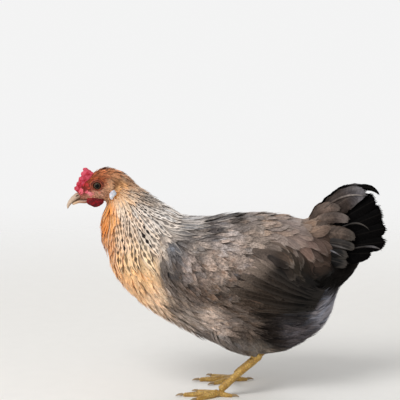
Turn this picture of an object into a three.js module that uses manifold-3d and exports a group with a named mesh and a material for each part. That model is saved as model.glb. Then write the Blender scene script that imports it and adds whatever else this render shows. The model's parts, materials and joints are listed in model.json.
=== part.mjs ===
// A life-size crested hen, standing still on both feet with her neck drawn back and her tail up.
// Millimetres, +Z up. She faces -X, her left side is -Y, and the origin is on the ground below
// the middle of her length and width.
//
// Each part of the plumage is a closed solid of its outer shape, out to the feather tips. A solid is
// swept through rings, which are set by pairs of points on the upper and lower outline. Neighbours
// are cut against each other with a thin seam between them.
import * as THREE from "three";
import { mergeVertices } from "three/addons/utils/BufferGeometryUtils.js";
import Module from "manifold-3d";

const wasm = await Module();
wasm.setup();

// ---------------------------------------------------------------- driving dimensions
const SEAM = 0.3; // gap between neighbouring solids
const LEFT = -1; // the side of -Y
const RIGHT = 1;
const SIDES = { left: LEFT, right: RIGHT };
const CENTRE_X = 1.5; // moves the hen along X, so that the origin is below her middle

// Trunk: one value for each station from breast to vent.
const TRUNK = {
  x: [-161, -146, -110, -64, -18, 28, 70, 105, 132, 148],
  top: [208, 222, 234, 239, 242, 247, 246, 236, 208, 170],
  bottom: [172, 148, 115, 87, 64, 50, 51, 68, 88, 112],
  half: [30, 43, 57, 67, 72, 73, 70, 61, 48, 33],
};
const TRUNK_CAPS = [0.16, 0.13]; // shares of its length over which breast and vent are rounded
const TRUNK_EGG = 0.12; // by which the upper half is wider than the lower

// A part swept between two outlines in the middle plane has an upper and a lower list of points
// [x, z], its half width at equal steps between them, and how the sweep is rounded and faceted.
const NECK = {
  upper: [[-146, 290], [-133, 287], [-113, 279], [-93, 264], [-68, 249], [-30, 240]],
  lower: [[-166, 260], [-169, 247], [-172, 232], [-171, 212], [-163, 189], [-146, 160]],
  half: [17, 22, 31, 41, 52, 60],
  sweep: { caps: [0.1, 0.3], around: 18, along: 10, egg: 0.04 },
};
const HEAD = {
  upper: [[-206, 274], [-199, 285], [-187, 295.5], [-171, 299.5], [-154, 296], [-142, 287]],
  lower: [[-203, 264.5], [-194, 263], [-181, 263.5], [-167, 263], [-155, 260], [-146, 262]],
  half: [5, 9.5, 14, 16.5, 17, 15],
  sweep: { caps: [0.08, 0.22], around: 16, along: 11, egg: -0.06 },
};
const EYE = { x: -177, z: 285.8, side: 10.9, radius: 5.8 };
const EAR_LOBE = { x: -156, z: 274, side: 17, half: [4.2, 2.6, 6.8], lean: 0.35 };
const WATTLE = {
  x: -180,
  top: 269,
  drop: 13.5,
  half: [11.5, 12.3, 11, 6],
  thick: 1.9,
  side: 8.4, // from the middle plane, at its top
  splay: 1.6, // further out at its lower edge
};

const BEAK_UPPER = {
  upper: [[-190, 280], [-200, 277], [-209, 272.4], [-216, 264.6], [-219.4, 256.8], [-218, 251.6]],
  lower: [[-190, 267], [-200.5, 265.3], [-207, 262.7], [-212.2, 259], [-215.4, 255.4], [-217.4, 251.6]],
  half: [9, 7.8, 6, 4.2, 2.6, 1],
  sweep: { caps: [0.04, 0.1], around: 12, along: 10 },
};
const BEAK_LOWER = {
  upper: [[-190, 266.6], [-198, 265.4], [-204, 263.4], [-208.5, 261], [-211.6, 258.4]],
  lower: [[-190, 260], [-197, 259.8], [-203, 258.6], [-208.2, 256.6], [-211.6, 255.6]],
  half: [8, 7.2, 5.6, 3.8, 1.4],
  sweep: { caps: [0.04, 0.12], around: 12, along: 8 },
};

// Comb: a serrated blade along the forehead, from the nostril to the crown.
const COMB = {
  from: [-205, 273.5],
  to: [-182, 301.5],
  points: 5,
  height: [7, 11, 15.5],
  notch: 3.4,
  thick: 4.2,
  bevel: 1.2,
  root: 7,
};

const CREST = {
  upper: [[-188, 298], [-177, 306.5], [-162, 310.5], [-146, 305], [-132, 295], [-119, 284.5]],
  lower: [[-187, 293], [-176, 293], [-162, 293], [-147, 286], [-134, 280], [-122, 278]],
  half: [4, 12, 15.5, 15, 12, 7],
  sweep: { caps: [0.12, 0.25], around: 14, along: 9 },
};

// Folded wing: upper and lower edge on the flank, and how far it stands out from it.
const WING = {
  x: [-93, -70, -34, 8, 52, 92, 131],
  top: [202, 219, 225, 220, 203, 168, 140],
  bottom: [178, 156, 138, 125, 118, 116, 124],
  out: [4, 8, 10, 10.5, 10, 8, 5],
  inset: 6, // how far it would reach into the flank, which it is cut by
  caps: [0.14, 0.12],
};

// Tail: its fleshy base, the coverts under it, and a tent of feathers on each side.
const TAIL_BASE = {
  upper: [[62, 242], [98, 237], [121, 247], [138, 258]],
  lower: [[84, 146], [118, 156], [146, 172], [160, 196]],
  half: [40, 36, 25, 10],
  sweep: { caps: [0.1, 0.3], around: 16, along: 9 },
};
const UNDERTAIL = {
  upper: [[96, 182], [130, 182], [158, 184], [180, 186]],
  lower: [[104, 108], [142, 132], [166, 156], [181, 175]],
  half: [30, 26, 17, 7],
  sweep: { caps: [0.1, 0.3], around: 14, along: 8 },
};
const TAIL_ROOT = { x: 100, z: 196 }; // from which the feathers spread
const TAIL_LEAN = 17; // degrees by which each side of the tent leans out
const MAIN_FEATHERS = {
  pairs: 7,
  rise: [52, 25, -2], // degrees above the horizon, from the top pair to the lowest
  length: [113, 126, 124, 120, 98],
  width: 29,
  side: 3.9, // of the top pair from the middle plane
};
const TAIL_COVERTS = {
  pairs: 5,
  rise: [47, 22, -5],
  length: [106, 86, 80],
  width: 34,
  side: 9.3,
};
const FEATHER = { thick: 1.6, step: 0.7 }; // step: sideways, from one pair to the next

// Legs. The feathered thigh ends at the hock, and the bare shank slopes forward to the foot.
const HOCK_Z = 55;
const LEG = {
  left: { foot: [-12, -41], hock: [40, -39] },
  right: { foot: [10, 41], hock: [62, 39] },
};
const THIGH = { hipX: -6, hipZ: 110, hipSide: 40, radii: [30, 33, 27, 17, 9] };
const SHANK_RADII = [6.6, 5.4, 4.9, 5, 6];
const ANKLE_Z = 8.5;
// Toe number: heading in degrees from straight ahead, outwards being positive, length and root radius.
const TOES = {
  1: { heading: 168, length: 19, radius: 3.7 },
  2: { heading: -34, length: 37, radius: 4.2 },
  3: { heading: 0, length: 51, radius: 4.6 },
  4: { heading: 36, length: 41, radius: 4.1 },
};
const TOE_SINK = 0.8; // how far a toe's round underside is flattened on the ground
const CLAW = { length: 11, radius: 2.5 };

// ---------------------------------------------------------------- materials
const finish = (color, roughness) => new THREE.MeshStandardMaterial({ color, roughness, metalness: 0 });
const FINISHES = {
  greyBrown: finish("#8d7a6d", 0.85),
  salmon: finish("#d6a174", 0.85),
  chestnut: finish("#9a5a36", 0.85),
  tailBlack: finish("#2a2321", 0.7),
  covertBrown: finish("#65554b", 0.8),
  fluff: finish("#9a8d86", 0.95),
  combRed: finish("#cf2f45", 0.55),
  wattleRed: finish("#9c1420", 0.5),
  lobeWhite: finish("#dcdce2", 0.6),
  horn: finish("#d9c19a", 0.4),
  eye: finish("#3a2417", 0.1),
  shankYellow: finish("#d1a545", 0.5),
  claw: finish("#a08a68", 0.4),
};

// ---------------------------------------------------------------- shape tools
const clamp = (value, low, high) => Math.min(high, Math.max(low, value));
const radians = THREE.MathUtils.degToRad;

/** Smooth value at share t of a list of numbers, through every one of them. */
function smooth(values, t) {
  const last = values.length - 1;
  const index = clamp(Math.floor(t * last), 0, last - 1);
  const f = t * last - index;
  const [a, b, c, d] = [-1, 0, 1, 2].map((k) => values[clamp(index + k, 0, last)]);
  return b + (f / 2) * (c - a + f * (2 * a - 5 * b + 4 * c - d + f * (3 * (b - c) + d - a)));
}

/** Point in the middle plane at share t of a list of [x, z]. */
const planePoint = (points, t) =>
  new THREE.Vector3(smooth(points.map((p) => p[0]), t), 0, smooth(points.map((p) => p[1]), t));

/** Share of its full size that a ring keeps near the rounded ends of a sweep. */
function rounding(t, [first, last]) {
  const fromEnd = t < first ? t / first : t > 1 - last ? (1 - t) / last : 1;
  return Math.sqrt(Math.max(0, 1 - (1 - fromEnd) ** 2));
}

/** Solid whose skin is pointAt(t, angle), for t from 0 to 1 along it and an angle around it. */
function skinned(pointAt, { around, along, inward = false }) {
  const skin = new THREE.SphereGeometry(1, around, along);
  const place = skin.getAttribute("position");
  let vertex = 0;
  for (let row = 0; row <= along; row++) {
    const t = (1 - Math.cos((Math.PI * row) / along)) / 2;
    for (let column = 0; column <= around; column++) {
      const point = pointAt(t, (2 * Math.PI * (column % around)) / around);
      place.setXYZ(vertex++, point.x, point.y, point.z);
    }
  }
  if (inward) skin.index.array.reverse();
  return solidOf(skin);
}

/**
 * Solid swept through oval rings. ringAt(t) gives a ring's middle and its half axes up and out,
 * where up x out points back along the sweep. egg widens the upper half and narrows the lower.
 */
function sweep(ringAt, { caps = [0.1, 0.1], around = 24, along = 16, egg = 0, grow = 0 } = {}) {
  const lengthwise = ringAt(1).middle.sub(ringAt(0).middle).normalize();
  const pointAt = (t, angle) => {
    const { middle, up, out } = ringAt(t);
    const cap = rounding(t, caps);
    up.setLength((up.length() + grow) * cap);
    out.setLength((out.length() + grow) * cap);
    return middle
      .addScaledVector(lengthwise, grow * (2 * t - 1))
      .addScaledVector(up, Math.cos(angle))
      .addScaledVector(out, Math.sin(angle) * (1 + egg * Math.cos(angle)));
  };
  return skinned(pointAt, { around, along });
}

/** A geometry as a solid, with its shared vertices merged. */
function solidOf(geometry) {
  geometry.deleteAttribute("normal");
  geometry.deleteAttribute("uv");
  const merged = mergeVertices(geometry, 1e-4);
  return new wasm.Manifold(
    new wasm.Mesh({
      numProp: 3,
      vertProperties: new Float32Array(merged.getAttribute("position").array),
      triVerts: new Uint32Array(merged.index.array),
    }),
  );
}

/** A solid less each of the others, keeping its largest body. */
function cut(solid, ...others) {
  const left = others.reduce((rest, other) => rest.subtract(other), solid);
  return left.decompose().reduce((best, body) => (body.volume() > best.volume() ? body : best));
}

/** A solid as a named mesh. */
function part(name, solid, material) {
  const { vertProperties, triVerts } = solid.getMesh();
  const geometry = new THREE.BufferGeometry()
    .setAttribute("position", new THREE.BufferAttribute(new Float32Array(vertProperties), 3))
    .setIndex(new THREE.BufferAttribute(new Uint32Array(triVerts), 1));
  geometry.computeVertexNormals();
  const mesh = new THREE.Mesh(geometry, material);
  mesh.name = name;
  return mesh;
}

/** Sweep between an upper and a lower outline in the middle plane. */
function outlineSweep({ upper, lower, half, sweep: options }, grow = 0) {
  const step = 0.01;
  const middleAt = (t) => planePoint(upper, t).add(planePoint(lower, t)).multiplyScalar(0.5);
  return sweep((t) => {
    const middle = middleAt(t);
    const up = planePoint(upper, t).sub(middle);
    const ahead = middleAt(Math.min(1, t + step)).sub(middleAt(Math.max(0, t - step)));
    const out = up.clone().cross(ahead).setLength(smooth(half, t));
    return { middle, up, out };
  }, { ...options, grow });
}

/** Round limb along points in space, with one radius for each point. */
function limb(points, radii, options = {}) {
  const path = new THREE.CatmullRomCurve3(points);
  return sweep((t) => {
    const ahead = path.getTangent(t);
    const out = new THREE.Vector3(0, 1, 0).cross(ahead).cross(ahead).normalize();
    const radius = smooth(radii, t);
    const up = ahead.clone().cross(out).setLength(radius);
    return { middle: path.getPoint(t), up, out: out.setLength(radius) };
  }, options);
}

// ---------------------------------------------------------------- trunk, neck and head
/** The trunk's section at share t of its length. */
function trunkSection(t) {
  const top = smooth(TRUNK.top, t);
  const bottom = smooth(TRUNK.bottom, t);
  const half = smooth(TRUNK.half, t);
  return { x: smooth(TRUNK.x, t), middle: (top + bottom) / 2, depth: (top - bottom) / 2, half };
}

const trunkShape = (grow = 0) =>
  sweep(
    (t) => {
      const { x, middle, depth, half } = trunkSection(t);
      return {
        middle: new THREE.Vector3(x, 0, middle),
        up: new THREE.Vector3(0, 0, depth),
        out: new THREE.Vector3(0, half, 0),
      };
    },
    { caps: TRUNK_CAPS, around: 24, along: 16, egg: TRUNK_EGG, grow },
  );

/** Half width of the trunk at a place on its flank. */
function trunkSide(x, z) {
  let low = 0;
  let high = 1;
  for (let i = 0; i < 24; i++) {
    const t = (low + high) / 2;
    if (trunkSection(t).x < x) low = t;
    else high = t;
  }
  const { middle, depth, half } = trunkSection(low);
  const cap = rounding(low, TRUNK_CAPS);
  const level = clamp((z - middle) / (depth * cap + 1e-6), -0.97, 0.97);
  return half * cap * Math.sqrt(1 - level * level) * (1 + TRUNK_EGG * level);
}

function eyeShape(side, grow = 0) {
  const ball = new THREE.SphereGeometry(EYE.radius + grow, 12, 8);
  return solidOf(ball.rotateX(Math.PI / 2).translate(EYE.x, side * EYE.side, EYE.z));
}

function earLobeShape(side, grow = 0) {
  const lobe = new THREE.SphereGeometry(1, 8, 6).scale(...EAR_LOBE.half.map((h) => h + grow));
  return solidOf(lobe.rotateY(EAR_LOBE.lean).translate(EAR_LOBE.x, side * EAR_LOBE.side, EAR_LOBE.z));
}

/** A thin rounded flap that hangs beside the throat. */
function wattleShape(side) {
  const top = new THREE.Vector3(WATTLE.x, side * WATTLE.side, WATTLE.top);
  const fall = new THREE.Vector3(0, side * WATTLE.splay, -WATTLE.drop);
  const ringAt = (t) => ({
    middle: top.clone().addScaledVector(fall, t),
    up: new THREE.Vector3(smooth(WATTLE.half, t), 0, 0),
    out: new THREE.Vector3(0, WATTLE.thick, 0),
  });
  return sweep(ringAt, { caps: [0.15, 0.45], around: 12, along: 8 });
}

/** Blade with a row of points, thickest where it grows from the forehead. */
function combShape() {
  const start = new THREE.Vector2(...COMB.from);
  const end = new THREE.Vector2(...COMB.to);
  const along = end.clone().sub(start);
  const length = along.length();
  along.normalize();
  const outward = new THREE.Vector2(-along.y, along.x);
  const at = (share, height) =>
    start.clone().addScaledVector(along, share * length).addScaledVector(outward, height);
  const outline = new THREE.Shape();
  outline.moveTo(...at(0, -COMB.root));
  outline.lineTo(...at(0, 0));
  for (let i = 0; i < COMB.points; i++) {
    const [low, peak, high] = [i, i + 0.55, i + 1].map((k) => k / COMB.points);
    const height = smooth(COMB.height, peak);
    const valley = i + 1 < COMB.points ? smooth(COMB.height, high) - COMB.notch : 0;
    outline.quadraticCurveTo(...at(low + 0.02, height), ...at(peak, height));
    outline.quadraticCurveTo(...at(high - 0.02, height), ...at(high, valley));
  }
  outline.lineTo(...at(1, -COMB.root));
  const blade = new THREE.ExtrudeGeometry(outline, {
    depth: COMB.thick - 2 * COMB.bevel,
    bevelThickness: COMB.bevel,
    bevelSize: COMB.bevel,
    bevelOffset: -COMB.bevel,
    bevelSegments: 1,
    curveSegments: 2,
  });
  blade.translate(0, 0, COMB.bevel - COMB.thick / 2);
  return solidOf(blade.rotateX(Math.PI / 2));
}

// ---------------------------------------------------------------- wings and tail
/** Folded wing, bent over the flank. It reaches into the trunk, which it is then cut against. */
function wingShape(side, grow = 0) {
  const pointAt = (t, angle) => {
    const stations = [WING.x, WING.top, WING.bottom, WING.out];
    const [x, top, bottom, out] = stations.map((values) => smooth(values, t));
    const cap = rounding(t, WING.caps);
    const z = (top + bottom) / 2 + ((top - bottom) / 2 + grow) * cap * Math.cos(angle);
    const outward = Math.sin(angle) * cap;
    const reach = (outward > 0 ? out : WING.inset) + grow;
    return new THREE.Vector3(x + grow * (2 * t - 1), side * (trunkSide(x, z) + outward * reach), z);
  };
  return skinned(pointAt, { around: 16, along: 12, inward: side === LEFT });
}

/** Flat feather in the XZ plane, with its quill at the origin and its round tip at +X. */
function featherBlade(length, width, thick) {
  const outline = new THREE.Shape();
  const shoulder = 0.74 * length;
  const half = width / 2;
  outline.moveTo(0, -0.3 * half);
  outline.quadraticCurveTo(0.3 * length, -half, shoulder, -half);
  outline.quadraticCurveTo(0.97 * length, -0.92 * half, length, -0.1 * half);
  outline.quadraticCurveTo(0.96 * length, half, shoulder, half);
  outline.quadraticCurveTo(0.3 * length, half, 0, 0.3 * half);
  const blade = new THREE.ExtrudeGeometry(outline, { depth: thick, bevelEnabled: false, curveSegments: 2 });
  return blade.translate(0, 0, -thick / 2).rotateX(Math.PI / 2);
}

/** One side of the tail: a fan of feathers, each lower pair lying further in under the last. */
function fanShape(side, fan, grow = 0) {
  const ridge = new THREE.Vector3(Math.cos(radians(fan.rise[0])), 0, Math.sin(radians(fan.rise[0])));
  const lean = new THREE.Matrix4().makeRotationAxis(ridge, side * radians(TAIL_LEAN));
  const feathers = [];
  for (let i = 0; i < fan.pairs; i++) {
    const share = i / (fan.pairs - 1);
    const length = smooth(fan.length, share) + grow;
    const blade = featherBlade(length, fan.width + 2 * grow, FEATHER.thick + 2 * grow);
    blade.rotateY(-radians(smooth(fan.rise, share)));
    blade.translate(0, side * (fan.side - FEATHER.step * i), 0);
    blade.applyMatrix4(lean);
    blade.translate(TAIL_ROOT.x, 0, TAIL_ROOT.z);
    feathers.push(solidOf(blade));
  }
  const half = new THREE.BoxGeometry(400, 200, 400);
  half.translate(TAIL_ROOT.x, side * (100 + SEAM / 2), TAIL_ROOT.z);
  return feathers.reduce((joined, feather) => joined.add(feather)).intersect(solidOf(half));
}

// ---------------------------------------------------------------- legs and feet
function thighShape(side, { hock }, grow = 0) {
  const hip = new THREE.Vector3(THIGH.hipX, side * THIGH.hipSide, THIGH.hipZ);
  const knee = new THREE.Vector3(...hock, HOCK_Z);
  const points = [0, 0.25, 0.5, 0.75, 1.04].map((share) => hip.clone().lerp(knee, share));
  return limb(points, THIGH.radii, { caps: [0.2, 0.16], around: 12, along: 8, grow });
}

function shankShape({ hock, foot }, grow = 0) {
  const top = new THREE.Vector3(...hock, HOCK_Z);
  const bottom = new THREE.Vector3(...foot, ANKLE_Z);
  const points = [0, 0.25, 0.5, 0.75, 1].map((share) => top.clone().lerp(bottom, share));
  return limb(points, SHANK_RADII, { caps: [0.08, 0.08], around: 10, along: 8, grow });
}

const GROUND = solidOf(new THREE.BoxGeometry(600, 400, 60).translate(0, 0, -30));

/** Direction in which a toe points, level with the ground. */
function toeHeading(side, { heading }) {
  const angle = radians(heading);
  return new THREE.Vector3(-Math.cos(angle), side * Math.sin(angle), 0);
}

/** Toe with a pad below each joint, flattened where it rests on the ground. */
function toeShape(side, { foot }, toe, grow = 0) {
  const ahead = toeHeading(side, toe);
  const tipRadius = 0.68 * toe.radius;
  const root = new THREE.Vector3(...foot, toe.radius + 1.2);
  const knuckle = root.clone().addScaledVector(ahead, 0.3 * toe.length).setZ(toe.radius - TOE_SINK);
  const tip = root.clone().addScaledVector(ahead, toe.length).setZ(tipRadius - TOE_SINK);
  const middle = knuckle.clone().lerp(tip, 0.5);
  const radii = [1.08, 1.1, 0.84, 0.98, 0.74, 0.82, 0.6].map((share) => share * toe.radius);
  const shape = limb([root, knuckle, middle, tip], radii, { caps: [0.1, 0.1], around: 8, along: 6, grow });
  return shape.subtract(GROUND);
}

/** Claw that curves down from the end of its toe. */
function clawShape(side, { foot }, toe) {
  const ahead = toeHeading(side, toe);
  const root = new THREE.Vector3(...foot, 0).addScaledVector(ahead, toe.length - 3);
  const at = (reach, height) => root.clone().addScaledVector(ahead, reach * CLAW.length).setZ(height);
  const points = [at(0, 2.6), at(0.45, 3.2), at(0.8, 2.5), at(1.1, 0.9)];
  const radii = [CLAW.radius, 0.8 * CLAW.radius, 0.5 * CLAW.radius, 0.25 * CLAW.radius];
  return limb(points, radii, { caps: [0.06, 0.06], around: 6, along: 4 }).subtract(GROUND);
}

// ---------------------------------------------------------------- the hen
const hen = new THREE.Group();
hen.position.x = CENTRE_X;

const trunkGrown = trunkShape(SEAM);
const neckGrown = outlineSweep(NECK, SEAM);
const headGrown = outlineSweep(HEAD, SEAM);
const crestGrown = outlineSweep(CREST, SEAM);
const beakUpperGrown = outlineSweep(BEAK_UPPER, SEAM);
const beakLowerGrown = outlineSweep(BEAK_LOWER, SEAM);
const tailBaseGrown = outlineSweep(TAIL_BASE, SEAM);
const undertailGrown = outlineSweep(UNDERTAIL, SEAM);
const sockets = [LEFT, RIGHT].map((side) => eyeShape(side, SEAM));
const wingsGrown = [LEFT, RIGHT].map((side) => wingShape(side, SEAM));

hen.add(
  part("trunk", trunkShape(), FINISHES.greyBrown),
  part("neck", cut(outlineSweep(NECK), trunkGrown, headGrown), FINISHES.salmon),
  part("head", cut(outlineSweep(HEAD), ...sockets), FINISHES.chestnut),
  part("crest", cut(outlineSweep(CREST), headGrown, neckGrown), FINISHES.chestnut),
  part("beak_upper", cut(outlineSweep(BEAK_UPPER), headGrown), FINISHES.horn),
  part("beak_lower", cut(outlineSweep(BEAK_LOWER), headGrown, beakUpperGrown), FINISHES.horn),
  part("comb", cut(combShape(), headGrown, crestGrown, beakUpperGrown), FINISHES.combRed),
  part("tail_base", cut(outlineSweep(TAIL_BASE), trunkGrown, ...wingsGrown), FINISHES.covertBrown),
  part(
    "undertail",
    cut(outlineSweep(UNDERTAIL), trunkGrown, tailBaseGrown, ...wingsGrown),
    FINISHES.tailBlack,
  ),
);

for (const [name, side] of Object.entries(SIDES)) {
  const leg = LEG[name];
  const tailCutters = [trunkGrown, tailBaseGrown, undertailGrown];
  const mainFeathersGrown = fanShape(side, MAIN_FEATHERS, SEAM);
  hen.add(
    part(`eye_${name}`, eyeShape(side), FINISHES.eye),
    part(`ear_lobe_${name}`, cut(earLobeShape(side), headGrown, neckGrown), FINISHES.lobeWhite),
    part(
      `wattle_${name}`,
      cut(wattleShape(side), headGrown, neckGrown, beakLowerGrown, beakUpperGrown),
      FINISHES.wattleRed,
    ),
    part(`wing_${name}`, cut(wingShape(side), trunkGrown, neckGrown), FINISHES.greyBrown),
    part(`tail_feathers_${name}`, cut(fanShape(side, MAIN_FEATHERS), ...tailCutters), FINISHES.tailBlack),
    part(
      `tail_coverts_${name}`,
      cut(fanShape(side, TAIL_COVERTS), ...tailCutters, mainFeathersGrown),
      FINISHES.covertBrown,
    ),
    part(`thigh_${name}`, cut(thighShape(side, leg), trunkGrown, ...wingsGrown), FINISHES.fluff),
    part(`shank_${name}`, cut(shankShape(leg), thighShape(side, leg, SEAM)), FINISHES.shankYellow),
  );
  const placed = [shankShape(leg, SEAM)];
  for (const [number, toe] of Object.entries(TOES)) {
    hen.add(part(`toe_${name}_${number}`, cut(toeShape(side, leg, toe), ...placed), FINISHES.shankYellow));
    const toeGrown = toeShape(side, leg, toe, SEAM);
    placed.push(toeGrown);
    hen.add(part(`claw_${name}_${number}`, cut(clawShape(side, leg, toe), toeGrown), FINISHES.claw));
  }
}

export default hen;
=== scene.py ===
"""A life-size crested hen, dressed: skin, coat of feathers, wings, tail, head and feet.

Metres, +Z up. She faces -X and her left side is -Y. The tables of the coat are in millimetres.
"""

import json
import logging
import math
from contextlib import contextmanager
from dataclasses import dataclass, field, replace
from enum import Enum
from functools import cache, partial
from typing import Any, Callable, Iterable, Iterator, Sequence

import bpy
import numpy as np
from mathutils import Matrix, Vector
from mathutils.bvhtree import BVHTree

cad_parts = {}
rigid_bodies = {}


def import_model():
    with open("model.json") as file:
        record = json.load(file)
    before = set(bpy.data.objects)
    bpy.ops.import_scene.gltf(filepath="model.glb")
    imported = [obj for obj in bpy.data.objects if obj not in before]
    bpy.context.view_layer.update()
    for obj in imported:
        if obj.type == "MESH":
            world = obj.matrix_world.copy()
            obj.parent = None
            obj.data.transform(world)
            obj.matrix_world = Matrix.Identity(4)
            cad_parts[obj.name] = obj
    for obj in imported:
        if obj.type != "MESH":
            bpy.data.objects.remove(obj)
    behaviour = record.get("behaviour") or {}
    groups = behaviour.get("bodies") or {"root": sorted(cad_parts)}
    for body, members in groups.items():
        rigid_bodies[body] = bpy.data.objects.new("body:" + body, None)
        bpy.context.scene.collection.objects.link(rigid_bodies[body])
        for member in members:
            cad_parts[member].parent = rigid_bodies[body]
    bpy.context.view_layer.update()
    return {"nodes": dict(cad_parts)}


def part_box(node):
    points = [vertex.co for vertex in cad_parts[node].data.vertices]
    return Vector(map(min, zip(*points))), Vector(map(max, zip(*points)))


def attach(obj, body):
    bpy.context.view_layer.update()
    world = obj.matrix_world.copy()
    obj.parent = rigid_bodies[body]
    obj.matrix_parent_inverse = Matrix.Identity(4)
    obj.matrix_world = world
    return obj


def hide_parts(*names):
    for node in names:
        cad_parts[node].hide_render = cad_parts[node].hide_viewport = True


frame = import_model()

LOG = logging.getLogger("hen")
MM = 0.001

Pair = tuple[float, float]
AddNode = Callable[..., bpy.types.Node]


class Side(Enum):
    """The two sides of the hen, by the sign of Y."""

    LEFT = -1
    RIGHT = 1

    @property
    def label(self) -> str:
        """The side's name in the names of pieces."""
        return self.name.lower()


# ---------------------------------------------------------------- tools
def linear(colour: str) -> tuple[float, float, float, float]:
    """Turns an sRGB colour to linear.

    Args:
        colour: the colour, as #rrggbb.

    Returns:
        Linear red, green and blue, and 1 for alpha.
    """
    channels = (int(colour[i : i + 2], 16) / 255 for i in (1, 3, 5))
    rgb = (c / 12.92 if c <= 0.04045 else ((c + 0.055) / 1.055) ** 2.4 for c in channels)
    return (*rgb, 1.0)


def linear_rows(colours: Iterable[str]) -> np.ndarray:
    """Turns sRGB colours to rows of linear red, green and blue."""
    return np.array([linear(colour)[:3] for colour in colours])


def shades(share: np.ndarray, stops: Sequence[float], colours: Sequence[str]) -> np.ndarray:
    """Blends colours from one stop to the next.

    Args:
        share: how far along each colour is wanted.
        stops: how far along each given colour is reached.
        colours: the given colours, as #rrggbb.

    Returns:
        A row of linear red, green and blue for each share.
    """
    return np.stack([np.interp(share, stops, channel) for channel in linear_rows(colours).T], 1)


def add_node(tree: bpy.types.NodeTree, kind: str, *inputs: Any, **settings: Any) -> bpy.types.Node:
    """Adds a node with its settings and links.

    Args:
        tree: the node tree that it goes in.
        kind: the node's type, without the word ShaderNode.
        inputs: a value, a socket or a node for each socket in use, in their order, or a dictionary
            that gives them by name. A node stands for the first output that it has in use.
        settings: the node's properties.

    Returns:
        The new node.
    """
    node = tree.nodes.new("ShaderNode" + kind)
    for name, value in settings.items():
        setattr(node, name, value)
    sockets = [socket for socket in node.inputs if socket.enabled]
    pairs = []
    for number, value in enumerate(inputs):
        if isinstance(value, dict):
            pairs += [(node.inputs[name], given) for name, given in value.items()]
        else:
            pairs.append((sockets[number], value))
    for socket, value in pairs:
        if isinstance(value, bpy.types.Node):
            value = next(output for output in value.outputs if output.enabled)
        if isinstance(value, bpy.types.NodeSocket):
            tree.links.new(value, socket)
        else:
            socket.default_value = value
    return node


def choose(*pieces: bpy.types.Object) -> None:
    """Selects these objects and no others, with the first one active.

    Args:
        pieces: the objects.
    """
    bpy.ops.object.select_all(action="DESELECT")
    for piece in pieces:
        piece.select_set(True)
    bpy.context.view_layer.objects.active = pieces[0]


@contextmanager
def editing(
    piece: bpy.types.Object, kind: str = "VERT", chosen: np.ndarray | None = None
) -> Iterator[None]:
    """Holds a piece in edit mode, with all of it selected or only some of it.

    Args:
        piece: the piece.
        kind: VERT or FACE, where only some of it is selected.
        chosen: whether each vertex or face is selected, or None to select them all.

    Yields:
        Nothing: the operators called meanwhile act on what is selected.
    """
    choose(piece)
    bpy.ops.object.mode_set(mode="EDIT")
    bpy.ops.mesh.select_all(action="SELECT" if chosen is None else "DESELECT")
    if chosen is not None:
        bpy.ops.mesh.select_mode(type=kind)
        bpy.ops.object.mode_set(mode="OBJECT")
        elements = piece.data.vertices if kind == "VERT" else piece.data.polygons
        elements.foreach_set("select", chosen)
        bpy.ops.object.mode_set(mode="EDIT")
    yield
    bpy.ops.object.mode_set(mode="OBJECT")


def copy_node(node: str, name: str) -> bpy.types.Object:
    """Copies a solid of the frame, with its corners merged.

    Args:
        node: the solid's name.
        name: the copy's name.

    Returns:
        The copy, which is selected alone.
    """
    piece = bpy.data.objects.new(name, frame["nodes"][node].data.copy())
    piece.data.name = name
    piece.data.materials.clear()
    bpy.context.scene.collection.objects.link(piece)
    with editing(piece):
        bpy.ops.mesh.remove_doubles(threshold=0.01 * MM)
    return piece


def join(pieces: Sequence[bpy.types.Object], name: str) -> bpy.types.Object:
    """Joins objects into the first one and names it.

    Args:
        pieces: the objects.
        name: the name.

    Returns:
        The joined object.
    """
    choose(*pieces)
    bpy.ops.object.join()
    pieces[0].name = pieces[0].data.name = name
    return pieces[0]


def apply_modifier(piece: bpy.types.Object, kind: str, **settings: Any) -> None:
    """Adds a modifier and applies it.

    Args:
        piece: the object.
        kind: the modifier's type.
        settings: its properties.
    """
    choose(piece)
    modifier = piece.modifiers.new(kind.title(), kind)
    for name, value in settings.items():
        setattr(modifier, name, value)
    bpy.ops.object.modifier_apply(modifier=modifier.name)


def remesh(piece: bpy.types.Object, voxel: float, rounds: int) -> None:
    """Rebuilds a closed piece from voxels and smooths it.

    Args:
        piece: the object.
        voxel: the voxel's size.
        rounds: how many times it is smoothed.
    """
    apply_modifier(piece, "REMESH", mode="VOXEL", voxel_size=voxel)
    apply_modifier(piece, "SMOOTH", factor=0.5, iterations=rounds)


def swell(piece: bpy.types.Object, rise: float) -> None:
    """Moves a piece's whole surface outwards, or leaves it where the rise is 0."""
    if rise:
        apply_modifier(piece, "DISPLACE", strength=rise, mid_level=0.0)


def read(items: bpy.types.bpy_prop_collection, name: str, kind: type = float) -> np.ndarray:
    """Reads three numbers from each item of a mesh.

    Args:
        items: vertices, normals, polygons or triangles.
        name: the property that holds the numbers.
        kind: float or int.

    Returns:
        One row for each item.
    """
    values = np.empty(len(items) * 3, kind)
    items.foreach_get(name, values)
    return values.reshape(-1, 3)


def coordinates(piece: bpy.types.Object) -> np.ndarray:
    """Gives the places of a piece's vertices, one row for each."""
    return read(piece.data.vertices, "co")


def vertex_normals(piece: bpy.types.Object) -> np.ndarray:
    """Gives the normals of a piece's vertices, one row for each."""
    return read(piece.data.vertex_normals, "vector")


def triangles_of(piece: bpy.types.Object) -> np.ndarray:
    """Gives the numbers of the vertices of a piece's triangles, one row for each."""
    piece.data.calc_loop_triangles()
    return read(piece.data.loop_triangles, "vertices", int)


def tree_of(places: np.ndarray, triangles: np.ndarray) -> BVHTree:
    """Makes a tree of triangles, which finds the one nearest to a place."""
    return BVHTree.FromPolygons(places.tolist(), triangles.tolist())


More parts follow.
